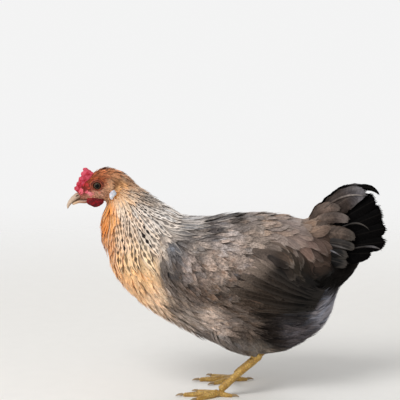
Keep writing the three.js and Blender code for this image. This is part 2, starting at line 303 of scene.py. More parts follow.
def move_vertices(piece: bpy.types.Object, places: np.ndarray) -> None:
    """Puts a piece's vertices at new places."""
    piece.data.vertices.foreach_set("co", places.ravel())
    piece.data.update()


def mark_vertices(mesh: bpy.types.Mesh, name: str, values: np.ndarray) -> None:
    """Adds an attribute, which materials read, with a value for each vertex.

    Args:
        mesh: the mesh.
        name: the attribute's name.
        values: one number, a vector or a colour with its alpha for each vertex, in the last axis.
    """
    kind, key = {
        1: ("FLOAT", "value"), 3: ("FLOAT_VECTOR", "vector"), 4: ("FLOAT_COLOR", "color"),
    }[values.shape[-1]]  # fmt: skip
    mesh.attributes.new(name, kind, "POINT").data.foreach_set(key, values.ravel())


def finish_piece(
    piece: bpy.types.Object, material: bpy.types.Material, slot: str, *nodes: str
) -> None:
    """Dresses a piece, shades it smooth, and says what it rides on and stands for.

    Args:
        piece: the piece.
        material: its finish.
        slot: not used.
        nodes: the solids that it stands for.
    """
    piece.data.materials.clear()
    piece.data.materials.append(material)
    piece.data.polygons.foreach_set("use_smooth", np.ones(len(piece.data.polygons), bool))
    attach(piece, "root")
    if nodes:
        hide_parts(*nodes)
    LOG.info("%s: %d faces", piece.name, len(piece.data.polygons))


def unit(vectors: np.ndarray) -> np.ndarray:
    """Scales each row to length 1."""
    return vectors / np.maximum(np.linalg.norm(vectors, axis=-1, keepdims=True), 1e-12)


def on_line(values: np.ndarray, level: float, slope: float, start: float) -> np.ndarray:
    """Gives a line's height at some values, where it is at the level at the start."""
    return level + slope * (values - start)


def smoothstep(low: float, high: float, values: np.ndarray) -> np.ndarray:
    """Rises smoothly from 0 at low to 1 at high."""
    t = np.clip((values - low) / (high - low), 0, 1)
    return t * t * (3 - 2 * t)


def nearness(points: np.ndarray, places: np.ndarray, reach: float) -> np.ndarray:
    """Weighs how near each point is to each place in the side view.

    Args:
        points: rows of x, y, z in metres.
        places: rows of x, z in millimetres.
        reach: the distance in millimetres within which a place rules alone.

    Returns:
        One row for each point and one column for each place, each row adding up to 1.
    """
    side_view = points[:, [0, 2]] / MM
    gap = ((side_view[:, None, :] - places[None, :, :]) ** 2).sum(-1)
    weight = 1 / (gap + reach * reach) ** 3
    return weight / weight.sum(1, keepdims=True)


# ---------------------------------------------------------------- how the coat lies and is marked
@dataclass(frozen=True)
class LieOfCoat:
    """The way that the feathers point, and the coat's depth, all over the body.

    Each row is x, z, the direction along x and z in the side view, and the depth, in millimetres.
    """

    rows: tuple[tuple[float, ...], ...] = (
        (-196, 284, 0.75, 0.65, 0.5),  # forehead
        (-186, 299, 0.9, 0.45, 1.2),  # front of the crown
        (-170, 309, 1, 0.05, 2.6),  # crown
        (-148, 305, 0.94, -0.34, 3.4),  # crest
        (-127, 291, 0.82, -0.57, 3.6),  # back of the crest
        (-178, 294, 0.98, 0.15, 0.7),  # brow
        (-186, 270, 0.85, -0.4, 0.5),  # gape
        (-166, 273, 0.85, -0.5, 0.9),  # cheek
        (-157, 284, 0.85, -0.5, 1.2),  # ear
        (-172, 262, 0.5, -0.85, 1),  # chin
        (-150, 262, 0.45, -0.9, 2.6),  # behind the cheek
        (-166, 248, 0.05, -1, 3.2),  # throat
        (-168, 222, 0.02, -1, 4.6),  # front of the neck
        (-142, 240, 0.28, -0.96, 4.4),  # side of the neck
        (-122, 279, 0.78, -0.62, 3.6),  # top of the nape
        (-118, 250, 0.55, -0.84, 4.8),  # hackle
        (-98, 262, 0.8, -0.6, 4.6),  # nape
        (-136, 206, 0.3, -0.95, 5.4),  # hackle over the breast
        (-98, 218, 0.58, -0.81, 5.4),  # hackle over the shoulder
        (-70, 244, 0.9, -0.42, 5),  # hackle over the back
        (-162, 190, 0.2, -0.98, 6),  # top of the breast
        (-146, 155, 0.45, -0.89, 6.5),  # breast
        (-112, 118, 0.78, -0.62, 6.5),  # keel
        (-105, 175, 0.62, -0.78, 6),  # side of the breast
        (-70, 195, 0.62, -0.78, 5),  # shoulder
        (-60, 160, 0.8, -0.6, 5),  # front of the wing
        (-30, 238, 0.97, -0.2, 5),  # back
        (-20, 205, 0.9, -0.42, 4.2),  # upper wing
        (0, 170, 0.93, -0.36, 4.2),  # wing
        (45, 150, 0.98, -0.18, 4),  # lower wing
        (60, 190, 0.84, -0.54, 4),  # rear of the wing
        (100, 150, 0.92, -0.38, 3.6),  # wing tip
        (25, 243, 0.97, -0.24, 5.5),  # front of the saddle
        (55, 225, 0.88, -0.48, 5.5),  # saddle
        (85, 205, 0.55, -0.83, 5.5),  # side of the saddle
        (104, 190, 0.5, -0.86, 5),  # last feathers of the saddle
        (85, 240, 0.98, 0.02, 5),  # rear of the saddle
        (115, 205, 0.88, -0.48, 5),  # side of the tail's root
        (118, 240, 0.8, 0.5, 3.6),  # root of the tail
        (140, 240, 0.85, 0.45, 2.8),  # between the tail feathers
        (-60, 110, 0.95, -0.25, 6),  # front of the flank
        (0, 105, 0.98, -0.15, 6.5),  # flank
        (-40, 76, 0.98, -0.18, 6),  # belly
        (30, 55, 1, 0.05, 6.5),  # low belly
        (10, 75, 0.62, -0.78, 4),  # thigh
        (40, 58, 0.55, -0.83, 1),  # hock
        (63, 58, 0.55, -0.83, 1.4),  # hock of the other leg
        (70, 80, 0.95, 0.05, 7),  # rear of the belly
        (110, 105, 0.9, 0.1, 7),  # vent
        (135, 130, 0.85, 0.2, 6.5),  # fluff behind the vent
        (130, 165, 0.88, 0.2, 5),  # under the tail
        (165, 175, 0.9, 0.35, 2.2),  # end of the under tail
    )
    way_reach: float = 9.0  # mm, the distance within which a row rules the direction alone
    depth_reach: float = 7.0  # mm, and the depth

    def __post_init__(self) -> None:
        """Keeps the rows as arrays."""
        table = np.array(self.rows, float)
        object.__setattr__(self, "places", table[:, :2])
        object.__setattr__(self, "ways", table[:, 2:4])
        object.__setattr__(self, "depths", table[:, 4] * MM)

    def way(self, points: np.ndarray, normals: np.ndarray) -> np.ndarray:
        """Finds the direction in which feathers point, along the skin.

        Args:
            points: places on the skin.
            normals: the skin's normals there.

        Returns:
            A unit vector for each point.
        """
        flat = nearness(points, self.places, self.way_reach) @ self.ways
        way = np.stack([flat[:, 0], np.zeros(len(flat)), flat[:, 1]], 1)
        way -= normals * (way * normals).sum(1, keepdims=True)
        return unit(way)

    def depth(self, points: np.ndarray) -> np.ndarray:
        """Gives the coat's depth at each point, in metres."""
        return nearness(points, self.places, self.depth_reach) @ self.depths


@dataclass(frozen=True)
class Markings:
    """The colours of the plumage, area by area, in the skin and in every feather, and painted shade
    in a few hollows.

    Each row is x, z in millimetres, the ground colour, and how strongly an area shows the dark dash
    along a feather, mottling, a pale edge, and difference from feather to feather.
    """

    rows: tuple[tuple[Any, ...], ...] = (
        (-188, 299, "#c0714a", 0, 0.6, 0, 0.25),  # front of the crown
        (-172, 308, "#b56c46", 0, 0.7, 0.1, 0.4),  # crown
        (-152, 306, "#bb805a", 0, 0.7, 0.3, 0.42),  # crest
        (-132, 294, "#ba9072", 0.1, 0.6, 0.4, 0.22),  # back of the crest
        (-180, 293, "#b25a36", 0, 0.5, 0, 0.2),  # brow
        (-166, 290, "#ae5c38", 0, 0.5, 0, 0.2),  # behind the brow
        (-190, 284, "#872d23", 0, 0.6, 0, 0.25),  # between comb and eye
        (-170, 274, "#cd987e", 0, 0.3, 0, 0.15),  # cheek
        (-163, 276, "#b88466", 0, 0.3, 0, 0.15),  # behind the cheek
        (-180, 268, "#dc9a80", 0, 0.3, 0, 0.15),  # below the eye
        (-159, 286.5, "#dcae88", 0, 0.1, 0.2, 0.05),  # ear tuft
        (-168, 262, "#c4956f", 0, 0.2, 0, 0.12),  # chin
        (-150.5, 286, "#7a4a2c", 0, 0.2, 0, 0.1),  # painted shade in the gap behind the ear tuft
        (-145, 283, "#ffc48a", 0, 0.1, 0.1, 0.08),  # behind the ear
        (-149, 272, "#e89a50", 0, 0.2, 0.2, 0.1),  # side of the throat
        (-158, 252, "#f09c4e", 0, 0.2, 0.08, 0.1),  # throat
        (-168, 226, "#de8437", 0.3, 0.3, 0.2, 0.12),  # front of the neck
        (-152, 238, "#efab68", 0.3, 0.2, 0.3, 0.1),  # front of the hackle
        (-138, 262, "#fad0a6", 0.3, 0.3, 0.3, 0.1),  # top of the hackle
        (-141, 250, "#fbe0c4", 0.4, 0.1, 0.4, 0.07),  # pale side of the hackle
        (-132, 242, "#f3d4b8", 1, 0.1, 0.6, 0.07),  # cream of the hackle
        (-112, 250, "#f8e6d6", 1, 0.1, 0.6, 0.07),  # middle of the hackle
        (-124, 278, "#d8b698", 0.5, 0.5, 0.4, 0.14),  # top of the nape
        (-106, 266, "#b8a493", 0.85, 0.4, 0.6, 0.12),  # nape
        (-90, 242, "#fff5ec", 0.85, 0.1, 0.7, 0.08),  # rear of the hackle
        (-68, 246, "#efe6de", 0.5, 0.2, 0.8, 0.14),  # hackle over the back
        (-137, 212, "#f0cba8", 1, 0.1, 0.5, 0.08),  # lower hackle
        (-104, 214, "#e9d8c6", 1, 0.1, 0.6, 0.08),  # lower hackle at the rear
        (-78, 226, "#eadccf", 0.7, 0.1, 0.6, 0.08),  # end of the hackle at the rear
        (-92, 205, "#e6d2bf", 0.9, 0.1, 0.6, 0.08),  # its lower corner
        (-160, 200, "#ee9f60", 0.55, 0.3, 0.4, 0.1),  # top of the breast
        (-130, 188, "#ffcf98", 0.9, 0.2, 0.4, 0.1),  # under the hackle
        (-106, 192, "#f2cfa4", 0.9, 0.2, 0.4, 0.1),  # under the rear of the hackle
        (-148, 162, "#f6c08c", 0.1, 0.3, 0.4, 0.12),  # breast
        (-112, 165, "#ecbe8c", 0, 0.2, 0.4, 0.1),  # side of the breast
        (-122, 128, "#f5cca0", 0, 0.3, 0.4, 0.12),  # lower breast
        (-97, 148, "#ffdab4", 0, 0.4, 0.4, 0.14),  # behind the breast
        (-92, 122, "#f0cfb0", 0, 0.4, 0.4, 0.14),  # before the flank
        (-74, 206, "#6b696b", 0.1, 0.3, 0.3, 0.18),  # slate of the shoulder
        (-80, 184, "#605854", 0.1, 0.4, 0.3, 0.25),  # shoulder
        (-68, 184, "#4c4644", 0.1, 0.4, 0.3, 0.2),  # dark of the shoulder
        (-78, 158, "#6b5e56", 0.1, 0.5, 0.6, 0.28),  # lower shoulder
        (-72, 128, "#83756b", 0, 0.5, 0.6, 0.25),  # below the shoulder
        (-60, 106, "#b5a497", 0, 0.5, 0.5, 0.18),  # front of the flank
        (-18, 106, "#ccb9ac", 0, 0.6, 0.5, 0.2),  # flank
        (-30, 80, "#857a74", 0, 0.5, 0.4, 0.18),  # belly
        (15, 114, "#7d6e64", 0, 0.5, 0.4, 0.2),  # below the wing, darkened as painted shade under it
        (25, 98, "#65584f", 0, 0.6, 0.4, 0.2),  # middle of the flank, darkened as painted shade beneath the wing
        (-45, 241, "#e6dfda", 0.9, 0.4, 0.7, 0.25),  # front of the back
        (-46, 222, "#686260", 0.3, 0.4, 0.4, 0.28),  # dark of the back
        (-12, 244, "#6d6867", 0.5, 0.6, 0.4, 0.25),  # back
        (-14, 229, "#4e4847", 0, 0.7, 0.6, 0.22),  # side of the back
        (20, 249, "#26211f", 0.3, 0.6, 0.6, 0.25),  # ridge of the back
        (32, 241, "#7e726b", 0, 0.7, 0.6, 0.18),  # saddle
        (45, 222, "#a69487", 0, 0.8, 0.5, 0.18),  # side of the saddle
        (72, 226, "#948379", 0, 0.5, 0.5, 0.15),  # rear of the saddle
        (98, 222, "#96857d", 0, 0.2, 0.4, 0.08),  # end of the saddle
        (80, 196, "#56483e", 0, 0.2, 0.6, 0.2),  # lower saddle
        (116, 232, "#8a7566", 0, 0.2, 0.3, 0.14),  # root of the tail
        (112, 206, "#826a5f", 0, 0.2, 0.4, 0.22),  # side of the tail's root
        (-40, 212, "#93877f", 0.1, 0.8, 0.7, 0.16),  # upper wing
        (0, 218, "#b5a69e", 0, 0.8, 0.5, 0.14),  # upper edge of the wing
        (-52, 184, "#9a8a82", 0, 0.8, 0.8, 0.16),  # front of the wing
        (-12, 190, "#ad998c", 0, 0.9, 0.8, 0.14),  # wing
        (30, 192, "#97877d", 0, 0.9, 0.4, 0.14),  # rear of the wing
        (-40, 152, "#6b5c53", 0, 0.8, 0.5, 0.18),  # lower front of the wing
        (-5, 146, "#6a5a4f", 0, 0.9, 0.4, 0.16),  # lower wing
        (34, 160, "#3a302a", 0, 1, 0.2, 0.15),  # flights
        (54, 192, "#6d615a", 0, 0.5, 0.3, 0.2),  # upper flights
        (66, 170, "#2f2d2c", 0, 0.5, 0.2, 0.18),  # greyer edge of the flights
        (34, 143, "#4f4036", 0, 1, 0.2, 0.12),  # stippled flight
        (76, 160, "#201e1b", 0, 0.5, 0.1, 0.12),  # rear flights
        (50, 132, "#231e1a", 0, 0.8, 0.1, 0.12),  # lower flights
        (112, 138, "#0e0e0e", 0, 0.2, 0.1, 0.1),  # wing tip
        (62, 85, "#27211e", 0, 0.5, 0.3, 0.18),  # rear of the belly, darkened as painted shade under the body
        (10, 62, "#78706b", 0, 0.4, 0.4, 0.15),  # low belly and thigh
        (40, 58, "#857a70", 0, 0.2, 0.3, 0.12),  # hock
        (95, 92, "#5e585b", 0, 0.3, 0.3, 0.14),  # vent
        (97, 113, "#3a3738", 0, 0.3, 0.2, 0.12),  # under the wing's tip, darkened as painted shade
        (132, 120, "#a3a0a8", 0, 0.2, 0.3, 0.08),  # fluff behind the vent
        (96, 180, "#272019", 0, 0.2, 0.15, 0.15),  # painted shade between the wing and the tail
        (72, 184, "#211b18", 0, 0.2, 0.2, 0.15),  # painted shade between the saddle and the wing's edge
        (132, 158, "#0f0d0b", 0, 0.2, 0, 0.1),  # shade under the tail's root
        (124, 183, "#54443b", 0, 0.2, 0.1, 0.15),  # below the side of the tail's root
        (112, 165, "#0f0d0b", 0, 0.2, 0, 0.15),  # above the vent
        (152, 165, "#14110f", 0, 0.2, 0, 0.15),  # under the tail
        (140, 235, "#5c4d44", 0, 0.2, 0.2, 0.12),  # between the tail feathers
    )
    reach: float = 6.0  # mm, the distance within which a row rules alone

    def __post_init__(self) -> None:
        """Keeps the rows as arrays."""
        object.__setattr__(self, "places", np.array([row[:2] for row in self.rows], float))
        object.__setattr__(self, "colours", linear_rows(row[2] for row in self.rows))
        object.__setattr__(self, "strengths", np.array([row[3:] for row in self.rows], float))

    def colour(self, points: np.ndarray) -> np.ndarray:
        """Gives the linear ground colour at each point."""
        return nearness(points, self.places, self.reach) @ self.colours

    def marks(self, points: np.ndarray) -> np.ndarray:
        """Gives the strengths of dash, mottling, pale edge and difference at each point."""
        return nearness(points, self.places, self.reach) @ self.strengths


@dataclass(frozen=True)
class BareFace:
    """Where the face has no feathers: rows of x, z, radius in millimetres, and its colour."""

    rows: tuple[tuple[Any, ...], ...] = (
        (-199, 277, 5.0, "#d9606c"),  # root of the comb
        (-196, 286, 3.4, "#c8323f"),  # beside the comb
        (-190, 286, 2.8, "#ab2f2b"),  # flecks ahead of the eye
        (-187, 282, 1.7, "#bb4434"),
        (-182, 291, 1.5, "#b5382f"),  # fleck above the eye
        (-190, 277, 2.4, "#d9606c"),  # behind the nostril
        (-186, 274.5, 3.3, "#e2828a"),  # below the eye
        (-182, 275.5, 2.7, "#de7a80"),
        (-184, 271, 1.8, "#cf6a66"),
        (-172.5, 277, 1.5, "#cf5f5c"),  # fleck behind it
        (-176, 285.8, 6.4, "#8f4630"),  # round the eye
        (-187, 266, 2.6, "#a83a34"),  # above the wattle
        (-178, 263.5, 4.2, "#96202a"),  # root of the wattle
    )
    wander: float = 0.3  # share of its radius by which a spot's edge wanders
    blend: float = 1.25  # share of its radius over which a spot's colour counts
    edge: Pair = (1.15, 0.8)  # shares of its radius between which the bareness sets in
    waves: tuple[Pair, Pair] = ((1.9, 1.2), (-0.9, 1.7))  # two waves that cross, about 3 mm long

    def cover(self, points: np.ndarray) -> tuple[np.ndarray, np.ndarray]:
        """Finds how bare the face is, and its colour there.

        Args:
            points: places on the skin.

        Returns:
            The bareness from 0 to 1 and a linear colour, for each point.
        """
        places = np.array([row[:2] for row in self.rows], float)
        radii = np.array([row[2] for row in self.rows], float)
        flat = points[:, [0, 2]] / MM
        gap = np.linalg.norm(flat[:, None] - places[None], axis=-1) / radii
        first, second = self.waves
        ragged = np.sin(flat @ first) * np.sin(flat @ second + 1.0)
        gap += self.wander * ragged[:, None]
        weight = np.maximum(0, self.blend - gap) ** 2 + 1e-9
        colours = linear_rows(row[3] for row in self.rows)
        colour = (weight / weight.sum(1, keepdims=True)) @ colours
        return smoothstep(*self.edge, gap.min(1)), colour


LIE = LieOfCoat()
MARKINGS = Markings()
BARE_FACE = BareFace()


# ---------------------------------------------------------------- finishes
MIDDLE = (0.3, 0.7)  # most of a noise's values lie between these


@dataclass(frozen=True)
class Finish:
    """The look of one real material. Finishes that are equal share it."""

    name: str

    @cache
    def material(self) -> bpy.types.Material:
        """Builds the material.

        Returns:
            The material, which an equal finish gives again.
        """
        material = bpy.data.materials.new(self.name)
        material.use_nodes = True
        material.node_tree.nodes.clear()
        add = partial(add_node, material.node_tree)
        add("OutputMaterial", self.shader(add))
        return material

    def shader(self, add: AddNode) -> bpy.types.Node:
        """Adds the nodes of the look.

        Args:
            add: add_node for the material's tree.

        Returns:
            The node that goes to the output.
        """
        raise NotImplementedError


@dataclass(frozen=True)
class FeatherFinish(Finish):
    """Feather keratin: soft barbs with a low sheen, coloured by the bird's own markings.

    It reads the piece's attributes: Plumage is the ground colour and a number of the feather's own,
    Vane is the place across and along the vane in millimetres and its share of the length, and
    Marks is the strength of dash, mottling and pale edge, and the share of the half width.
    """

    roughness: float = 0.62
    own: float = 91.7  # spreads the number of a feather's own, so that no two look alike
    streak: float = 0.32  # how far the barbs differ in brightness
    barb: float = 1.3  # mm: real barbs are 0.3 mm apart, drawn wider so that they show
    stretch: float = 0.12  # share of the change across a streak that there is along it
    slanting: float = 1.1  # how steeply the other streaks leave the shaft
    lengthwise: float = 0.7  # share of the streaks that run along the feather
    covered: float = 0.6  # brightness of the painted shade on the part that other feathers lie on
    bared: Pair = (0.25, 0.75)  # shares of the length between which that painted shade ends
    fleck: float = 2.6  # mm
    fleck_tones: Pair = (0.5, 1.45)  # how dark and how light the flecks are
    tint: float = 0.0  # how strong the rust and the blue-grey patches are
    patch: float = 8.0  # mm
    rust: str = "#8c6247"
    bloom: str = "#8b878c"
    dash_half: float = 0.66  # share of the half width
    dash_count: float = 4.0  # dashes on a feather
    dash_taper: float = 1.15  # share of the half width by which one narrows over its own length
    dash_fray: float = 0.5  # how far the barbs fray its border
    dash_soft: float = 0.12  # share of the half width over which the border fades
    dash_least: float = 0.7  # strength of the weakest
    dash_colour: str = "#231d1b"
    edge: float = 0.4
    side_edge: float = 0.0
    edge_colour: str = "#cdbfb2"
    edge_span: Pair = (0.84, 0.98)  # shares of the length over which it begins
    edge_bow: float = 0.012  # share of the length by which it turns back, a millimetre off the shaft
    side_span: Pair = (0.45, 0.95)  # shares of the half width over which a pale side begins
    shaft: float = 0.0
    shaft_colour: str = "#8f8379"
    shaft_span: Pair = (0.7, 0.3)  # mm from its middle, over which it begins
    specular: float = 0.1
    bump: float = 0.25

    def shader(self, add: AddNode) -> bpy.types.Node:
        """Adds barbs, mottling and painted shade, and over them the pale edge, the shaft and the
        dashes.

        Args:
            add: add_node for the material's tree.

        Returns:
            The node that goes to the output.
        """
        plumage = add("Attribute", attribute_name="Plumage")
        vane = add("Attribute", attribute_name="Vane").outputs["Vector"]
        x, along, share = add("SeparateXYZ", vane).outputs
        marks = add("Attribute", attribute_name="Marks")
        dashing, mottling, edging = add("SeparateColor", marks).outputs
        beside = marks.outputs["Alpha"]
        across = add("Math", x, operation="ABSOLUTE")
        seed = add("Math", plumage.outputs["Alpha"], self.own, operation="MULTIPLY")

        # Barbs: thin streaks along the feather, and others slanting away from its shaft.
        slow = add("Math", along, self.stretch, operation="MULTIPLY")
        lines = add("TexNoise", add("CombineXYZ", x, slow, seed), 1 / self.barb, 2.0, 0.6)
        slant = add("Math", across, -self.slanting, along, operation="MULTIPLY_ADD")
        thin = add("Math", across, 0.15, operation="MULTIPLY")
        slants = add("TexNoise", add("CombineXYZ", slant, thin, seed), 0.8 / self.barb, 2.0)
        barbs = add("Mix", self.lengthwise, slants, lines, data_type="FLOAT")
        bright = add("MapRange", barbs, *MIDDLE, 1 - self.streak, 1 + self.streak)

        # Mottling: flecks lighter and darker than the ground, of a few millimetres.
        where = add("TexCoord").outputs["Object"]
        flecks = add("TexNoise", where, 1 / (self.fleck * MM), 3.0, 0.7)
        tone = add("MapRange", flecks, 0.38, 0.62, *self.fleck_tones)
        tone = add("Mix", mottling, 1.0, tone, data_type="FLOAT")
        bright = add("Math", bright, tone, operation="MULTIPLY")
        # Painted shade: the part of each feather that others lie on is drawn darker.
        bared = add("MapRange", share, *self.bared, self.covered, 1.0)
        bright = add("Math", bright, bared, operation="MULTIPLY")
        colour = add("VectorMath", plumage, {"Scale": bright}, operation="SCALE")
        if self.tint:
            patches = add("TexNoise", where, 1 / (self.patch * MM), 2.0)
            rust = add("MapRange", patches, 0.57, 0.7, 0.0, self.tint)
            rust = add("Math", rust, mottling, operation="MULTIPLY")
            colour = add("Mix", rust, colour, linear(self.rust), data_type="RGBA")
            bloom = add("MapRange", patches, 0.43, 0.3, 0.0, self.tint)
            bloom = add("Math", bloom, mottling, operation="MULTIPLY")
            colour = add("Mix", bloom, colour, linear(self.bloom), data_type="RGBA")

        # Pale edge: the last part of the feather, and its sides where the kind has them pale.
        rim = add("Math", across, self.edge_bow, share, operation="MULTIPLY_ADD")
        edge = add(
            "MapRange", rim, *self.edge_span, 0.0, self.edge, interpolation_type="SMOOTHSTEP"
        )
        sides = add("MapRange", beside, *self.side_span, 0.0, self.side_edge)
        edge = add("Math", edge, sides, operation="MAXIMUM")
        edge = add("Math", edge, edging, operation="MULTIPLY")
        colour = add("Mix", edge, colour, linear(self.edge_colour), data_type="RGBA")
        if self.shaft:
            on_shaft = add("MapRange", across, *self.shaft_span, 0.0, self.shaft)
            colour = add("Mix", on_shaft, colour, linear(self.shaft_colour), data_type="RGBA")

        # Dashes: dark lenses one after another along the shaft.
        beads = add("Math", share, self.dash_count, seed, operation="MULTIPLY_ADD")
        beads = add("Math", add("Math", beads, operation="FRACT"), 0.5, operation="SUBTRACT")
        beyond = add("Math", beads, operation="ABSOLUTE")
        off = add("Math", beyond, self.dash_taper, beside, operation="MULTIPLY_ADD")
        off = add("Math", barbs, self.dash_fray, off, operation="MULTIPLY_ADD")
        half = self.dash_half + self.dash_fray / 2
        span = (half + self.dash_soft, half - self.dash_soft)
        dash = add("MapRange", off, *span, interpolation_type="SMOOTHSTEP")
        chance, more = add("Math", seed, operation="FRACT"), self.dash_least / 2
        own = add("Math", chance, more, self.dash_least, operation="MULTIPLY_ADD")
        dash = add("Math", dash, dashing, operation="MULTIPLY")
        dash = add("Math", dash, own, operation="MULTIPLY")
        colour = add("Mix", dash, colour, linear(self.dash_colour), data_type="RGBA")

        relief = add("Bump", {"Strength": self.bump, "Distance": 0.3 * MM, "Height": barbs})
        return add("BsdfPrincipled", {
            "Base Color": colour, "Roughness": self.roughness, "IOR": 1.54,
            "Specular IOR Level": self.specular, "Normal": relief,
        })  # fmt: skip


@dataclass(frozen=True)
class SkinFinish(Finish):
    """Living skin: its markings show below the feathers, and the bare face is red and pebbled."""

    name: str = "hen_skin"
    pebble: float = 1.1  # mm
    tones: Pair = (0.7, 1.3)  # how dark and how light the pebbles are
    roughness: float = 0.6
    bump: float = 0.6

    def shader(self, add: AddNode) -> bpy.types.Node:
        """Adds the markings under fine pebbles.

        Args:
            add: add_node for the material's tree.

        Returns:
            The node that goes to the output.
        """
        plumage = add("Attribute", attribute_name="Plumage")
        where = add("TexCoord").outputs["Object"]
        pebbles = add("TexNoise", where, 1 / (self.pebble * MM), 2.0, 0.6)
        tone = add("MapRange", pebbles, *MIDDLE, *self.tones)
        colour = add("VectorMath", plumage, {"Scale": tone}, operation="SCALE")
        relief = add("Bump", {"Strength": self.bump, "Distance": 0.4 * MM, "Height": pebbles})
        return add("BsdfPrincipled", {
            "Base Color": colour, "Roughness": self.roughness, "IOR": 1.4, "Specular IOR Level": 0.3,
            "Normal": relief,
        })  # fmt: skip


@dataclass(frozen=True)
class FleshyFinish(Finish):
    """Comb, wattle or lobe skin: thick, blood-filled or waxy, finely grained, with a soft gloss."""

    light: str
    dark: str
    grain: float = 1.3  # mm
    patch: float = 5.0  # mm
    roughness: float = 0.45
    uneven: Pair = (-0.08, 0.12)  # how far the patches differ from it
    bump: float = 0.6
    pale_above: float = 1.0  # m, the height from which painted light from above makes the skin paler
    pale_span: Pair = (-12 * MM, 6 * MM)  # it begins and ends so far below and above that
    pale_gain: float = 0.14  # how far it leans to the light colour
    blend: Pair = (0.42, 0.62)  # values of the patches between which the colours change
    tones: Pair = (1.12, 0.8)  # how light the grains are, and how dark the skin between them

    def shader(self, add: AddNode) -> bpy.types.Node:
        """Adds soft patches of light and dark skin, painted light towards the top, and raised
        grains.

        Args:
            add: add_node for the material's tree.

        Returns:
            The node that goes to the output.
        """
        where = add("TexCoord").outputs["Object"]
        patches = add("TexNoise", where, 1 / (self.patch * MM), 3.0, 0.65)
        grains = add("TexVoronoi", where, 1 / (self.grain * MM))
        height = add("SeparateXYZ", where).outputs["Z"]
        # Painted light: above this height the skin leans to the light colour, as if lit from above.
        span = (self.pale_above + reach for reach in self.pale_span)
        high = add("MapRange", height, *span, 0.0, self.pale_gain)
        blend = add("MapRange", add("Math", patches, high, operation="ADD"), *self.blend)
        colour = add("Mix", blend, linear(self.dark), linear(self.light), data_type="RGBA")
        shade = add("MapRange", grains, 0.1, 0.7, *self.tones)
        colour = add("VectorMath", colour, {"Scale": shade}, operation="SCALE")
        rough = (self.roughness + more for more in self.uneven)
        rough = add("MapRange", patches, *MIDDLE, *rough)
        relief = add("Bump", {"Strength": self.bump, "Distance": -0.3 * MM, "Height": grains})
        return add("BsdfPrincipled", {
            "Base Color": colour, "Roughness": rough, "IOR": 1.4, "Specular IOR Level": 0.25,
            "Subsurface Weight": 0.15, "Subsurface Scale": 1.5 * MM,
            "Subsurface Radius": (1.0, 0.35, 0.25), "Normal": relief,
        })  # fmt: skip


@dataclass(frozen=True)
class HornFinish(Finish):
    """Beak and claw horn: smooth grown keratin, darker at its root, with faint growth lines."""

    tip: str
    root: str
    start: float  # m along X, where the root's colour ends
    end: float  # m along X, where the tip's colour begins
    grain: float = 1.6  # mm
    wander: float = 3.0  # mm by which the grain moves the change of colour
    tones: Pair = (0.84, 1.1)  # how dark and how light the grain is
    # Painted shade in the nostrils, and along the mouth's dark seam.
    stain: str = "#33211a"
    roughness: float = 0.35

    def shader(self, add: AddNode) -> bpy.types.Node:
        """Adds the change of colour from root to tip, growth lines, and painted shade in the
        nostrils and along the mouth's seam.

        Args:
            add: add_node for the material's tree.

        Returns:
            The node that goes to the output.
        """
        where = add("TexCoord").outputs["Object"]
        grain = add("TexNoise", where, 1 / (self.grain * MM), 3.0)
        x = add("SeparateXYZ", where).outputs["X"]
        shift = add("Math", grain, self.wander * MM, x, operation="MULTIPLY_ADD")
        share = add("MapRange", shift, self.start, self.end)
        colour = add("Mix", share, linear(self.root), linear(self.tip), data_type="RGBA")
        tone = add("MapRange", grain, *MIDDLE, *self.tones)
        colour = add("VectorMath", colour, {"Scale": tone}, operation="SCALE")
        # Painted shade in the nostrils and along the mouth's seam, where the beak has this
        # attribute.
        stain = add("Attribute", attribute_name="Stain").outputs["Fac"]
        colour = add("Mix", stain, colour, linear(self.stain), data_type="RGBA")
        relief = add("Bump", {"Strength": 0.2, "Distance": 0.15 * MM, "Height": grain})
        return add("BsdfPrincipled", {
            "Base Color": colour, "Roughness": self.roughness, "IOR": 1.55, "Normal": relief,
        })  # fmt: skip


@dataclass(frozen=True)
class EyeFinish(Finish):
    """A wet eyeball: black pupil, olive-brown iris with fine rays, and a dark edge."""

    centre: tuple[float, float, float]
    pupil: float = 2.4 * MM
    iris: float = 4.8 * MM
    ray: float = 0.7 * MM
    fray: float = 0.8 * MM  # how far the rays may move the rings of colour
    stops: tuple[tuple[float, str], ...] = (
        (0.0, "#040303"), (0.08, "#1d1712"), (0.45, "#463c30"), (0.8, "#4d3826"), (1.0, "#0f0a08"),
    )  # fmt: skip

    def shader(self, add: AddNode) -> bpy.types.Node:
        """Adds rings of colour round the pupil, which rays of the iris fray.

        Args:
            add: add_node for the material's tree.

        Returns:
            The node that goes to the output.
        """
        where = add("TexCoord").outputs["Object"]
        middle = (-self.centre[0], 0.0, -self.centre[2])
        shift = add("Mapping", where, middle, (0.0, 0.0, 0.0), (1.0, 0.0, 1.0))
        rays = add("TexNoise", shift, 1 / self.ray, 3.0)
        radius = add("VectorMath", shift, operation="LENGTH")
        wave = add("Math", rays, self.fray, radius, operation="MULTIPLY_ADD")
        share = add("MapRange", wave, self.pupil + self.fray / 2, self.iris + self.fray / 2)
        ramp = add("ValToRGB", share)
        while len(ramp.color_ramp.elements) < len(self.stops):
            ramp.color_ramp.elements.new(0.5)
        for element, (place, colour) in zip(ramp.color_ramp.elements, self.stops):
            element.position, element.color = place, linear(colour)
        return add("BsdfPrincipled", {
            "Base Color": ramp, "Roughness": 0.1, "IOR": 1.38, "Specular IOR Level": 0.15,
        })  # fmt: skip


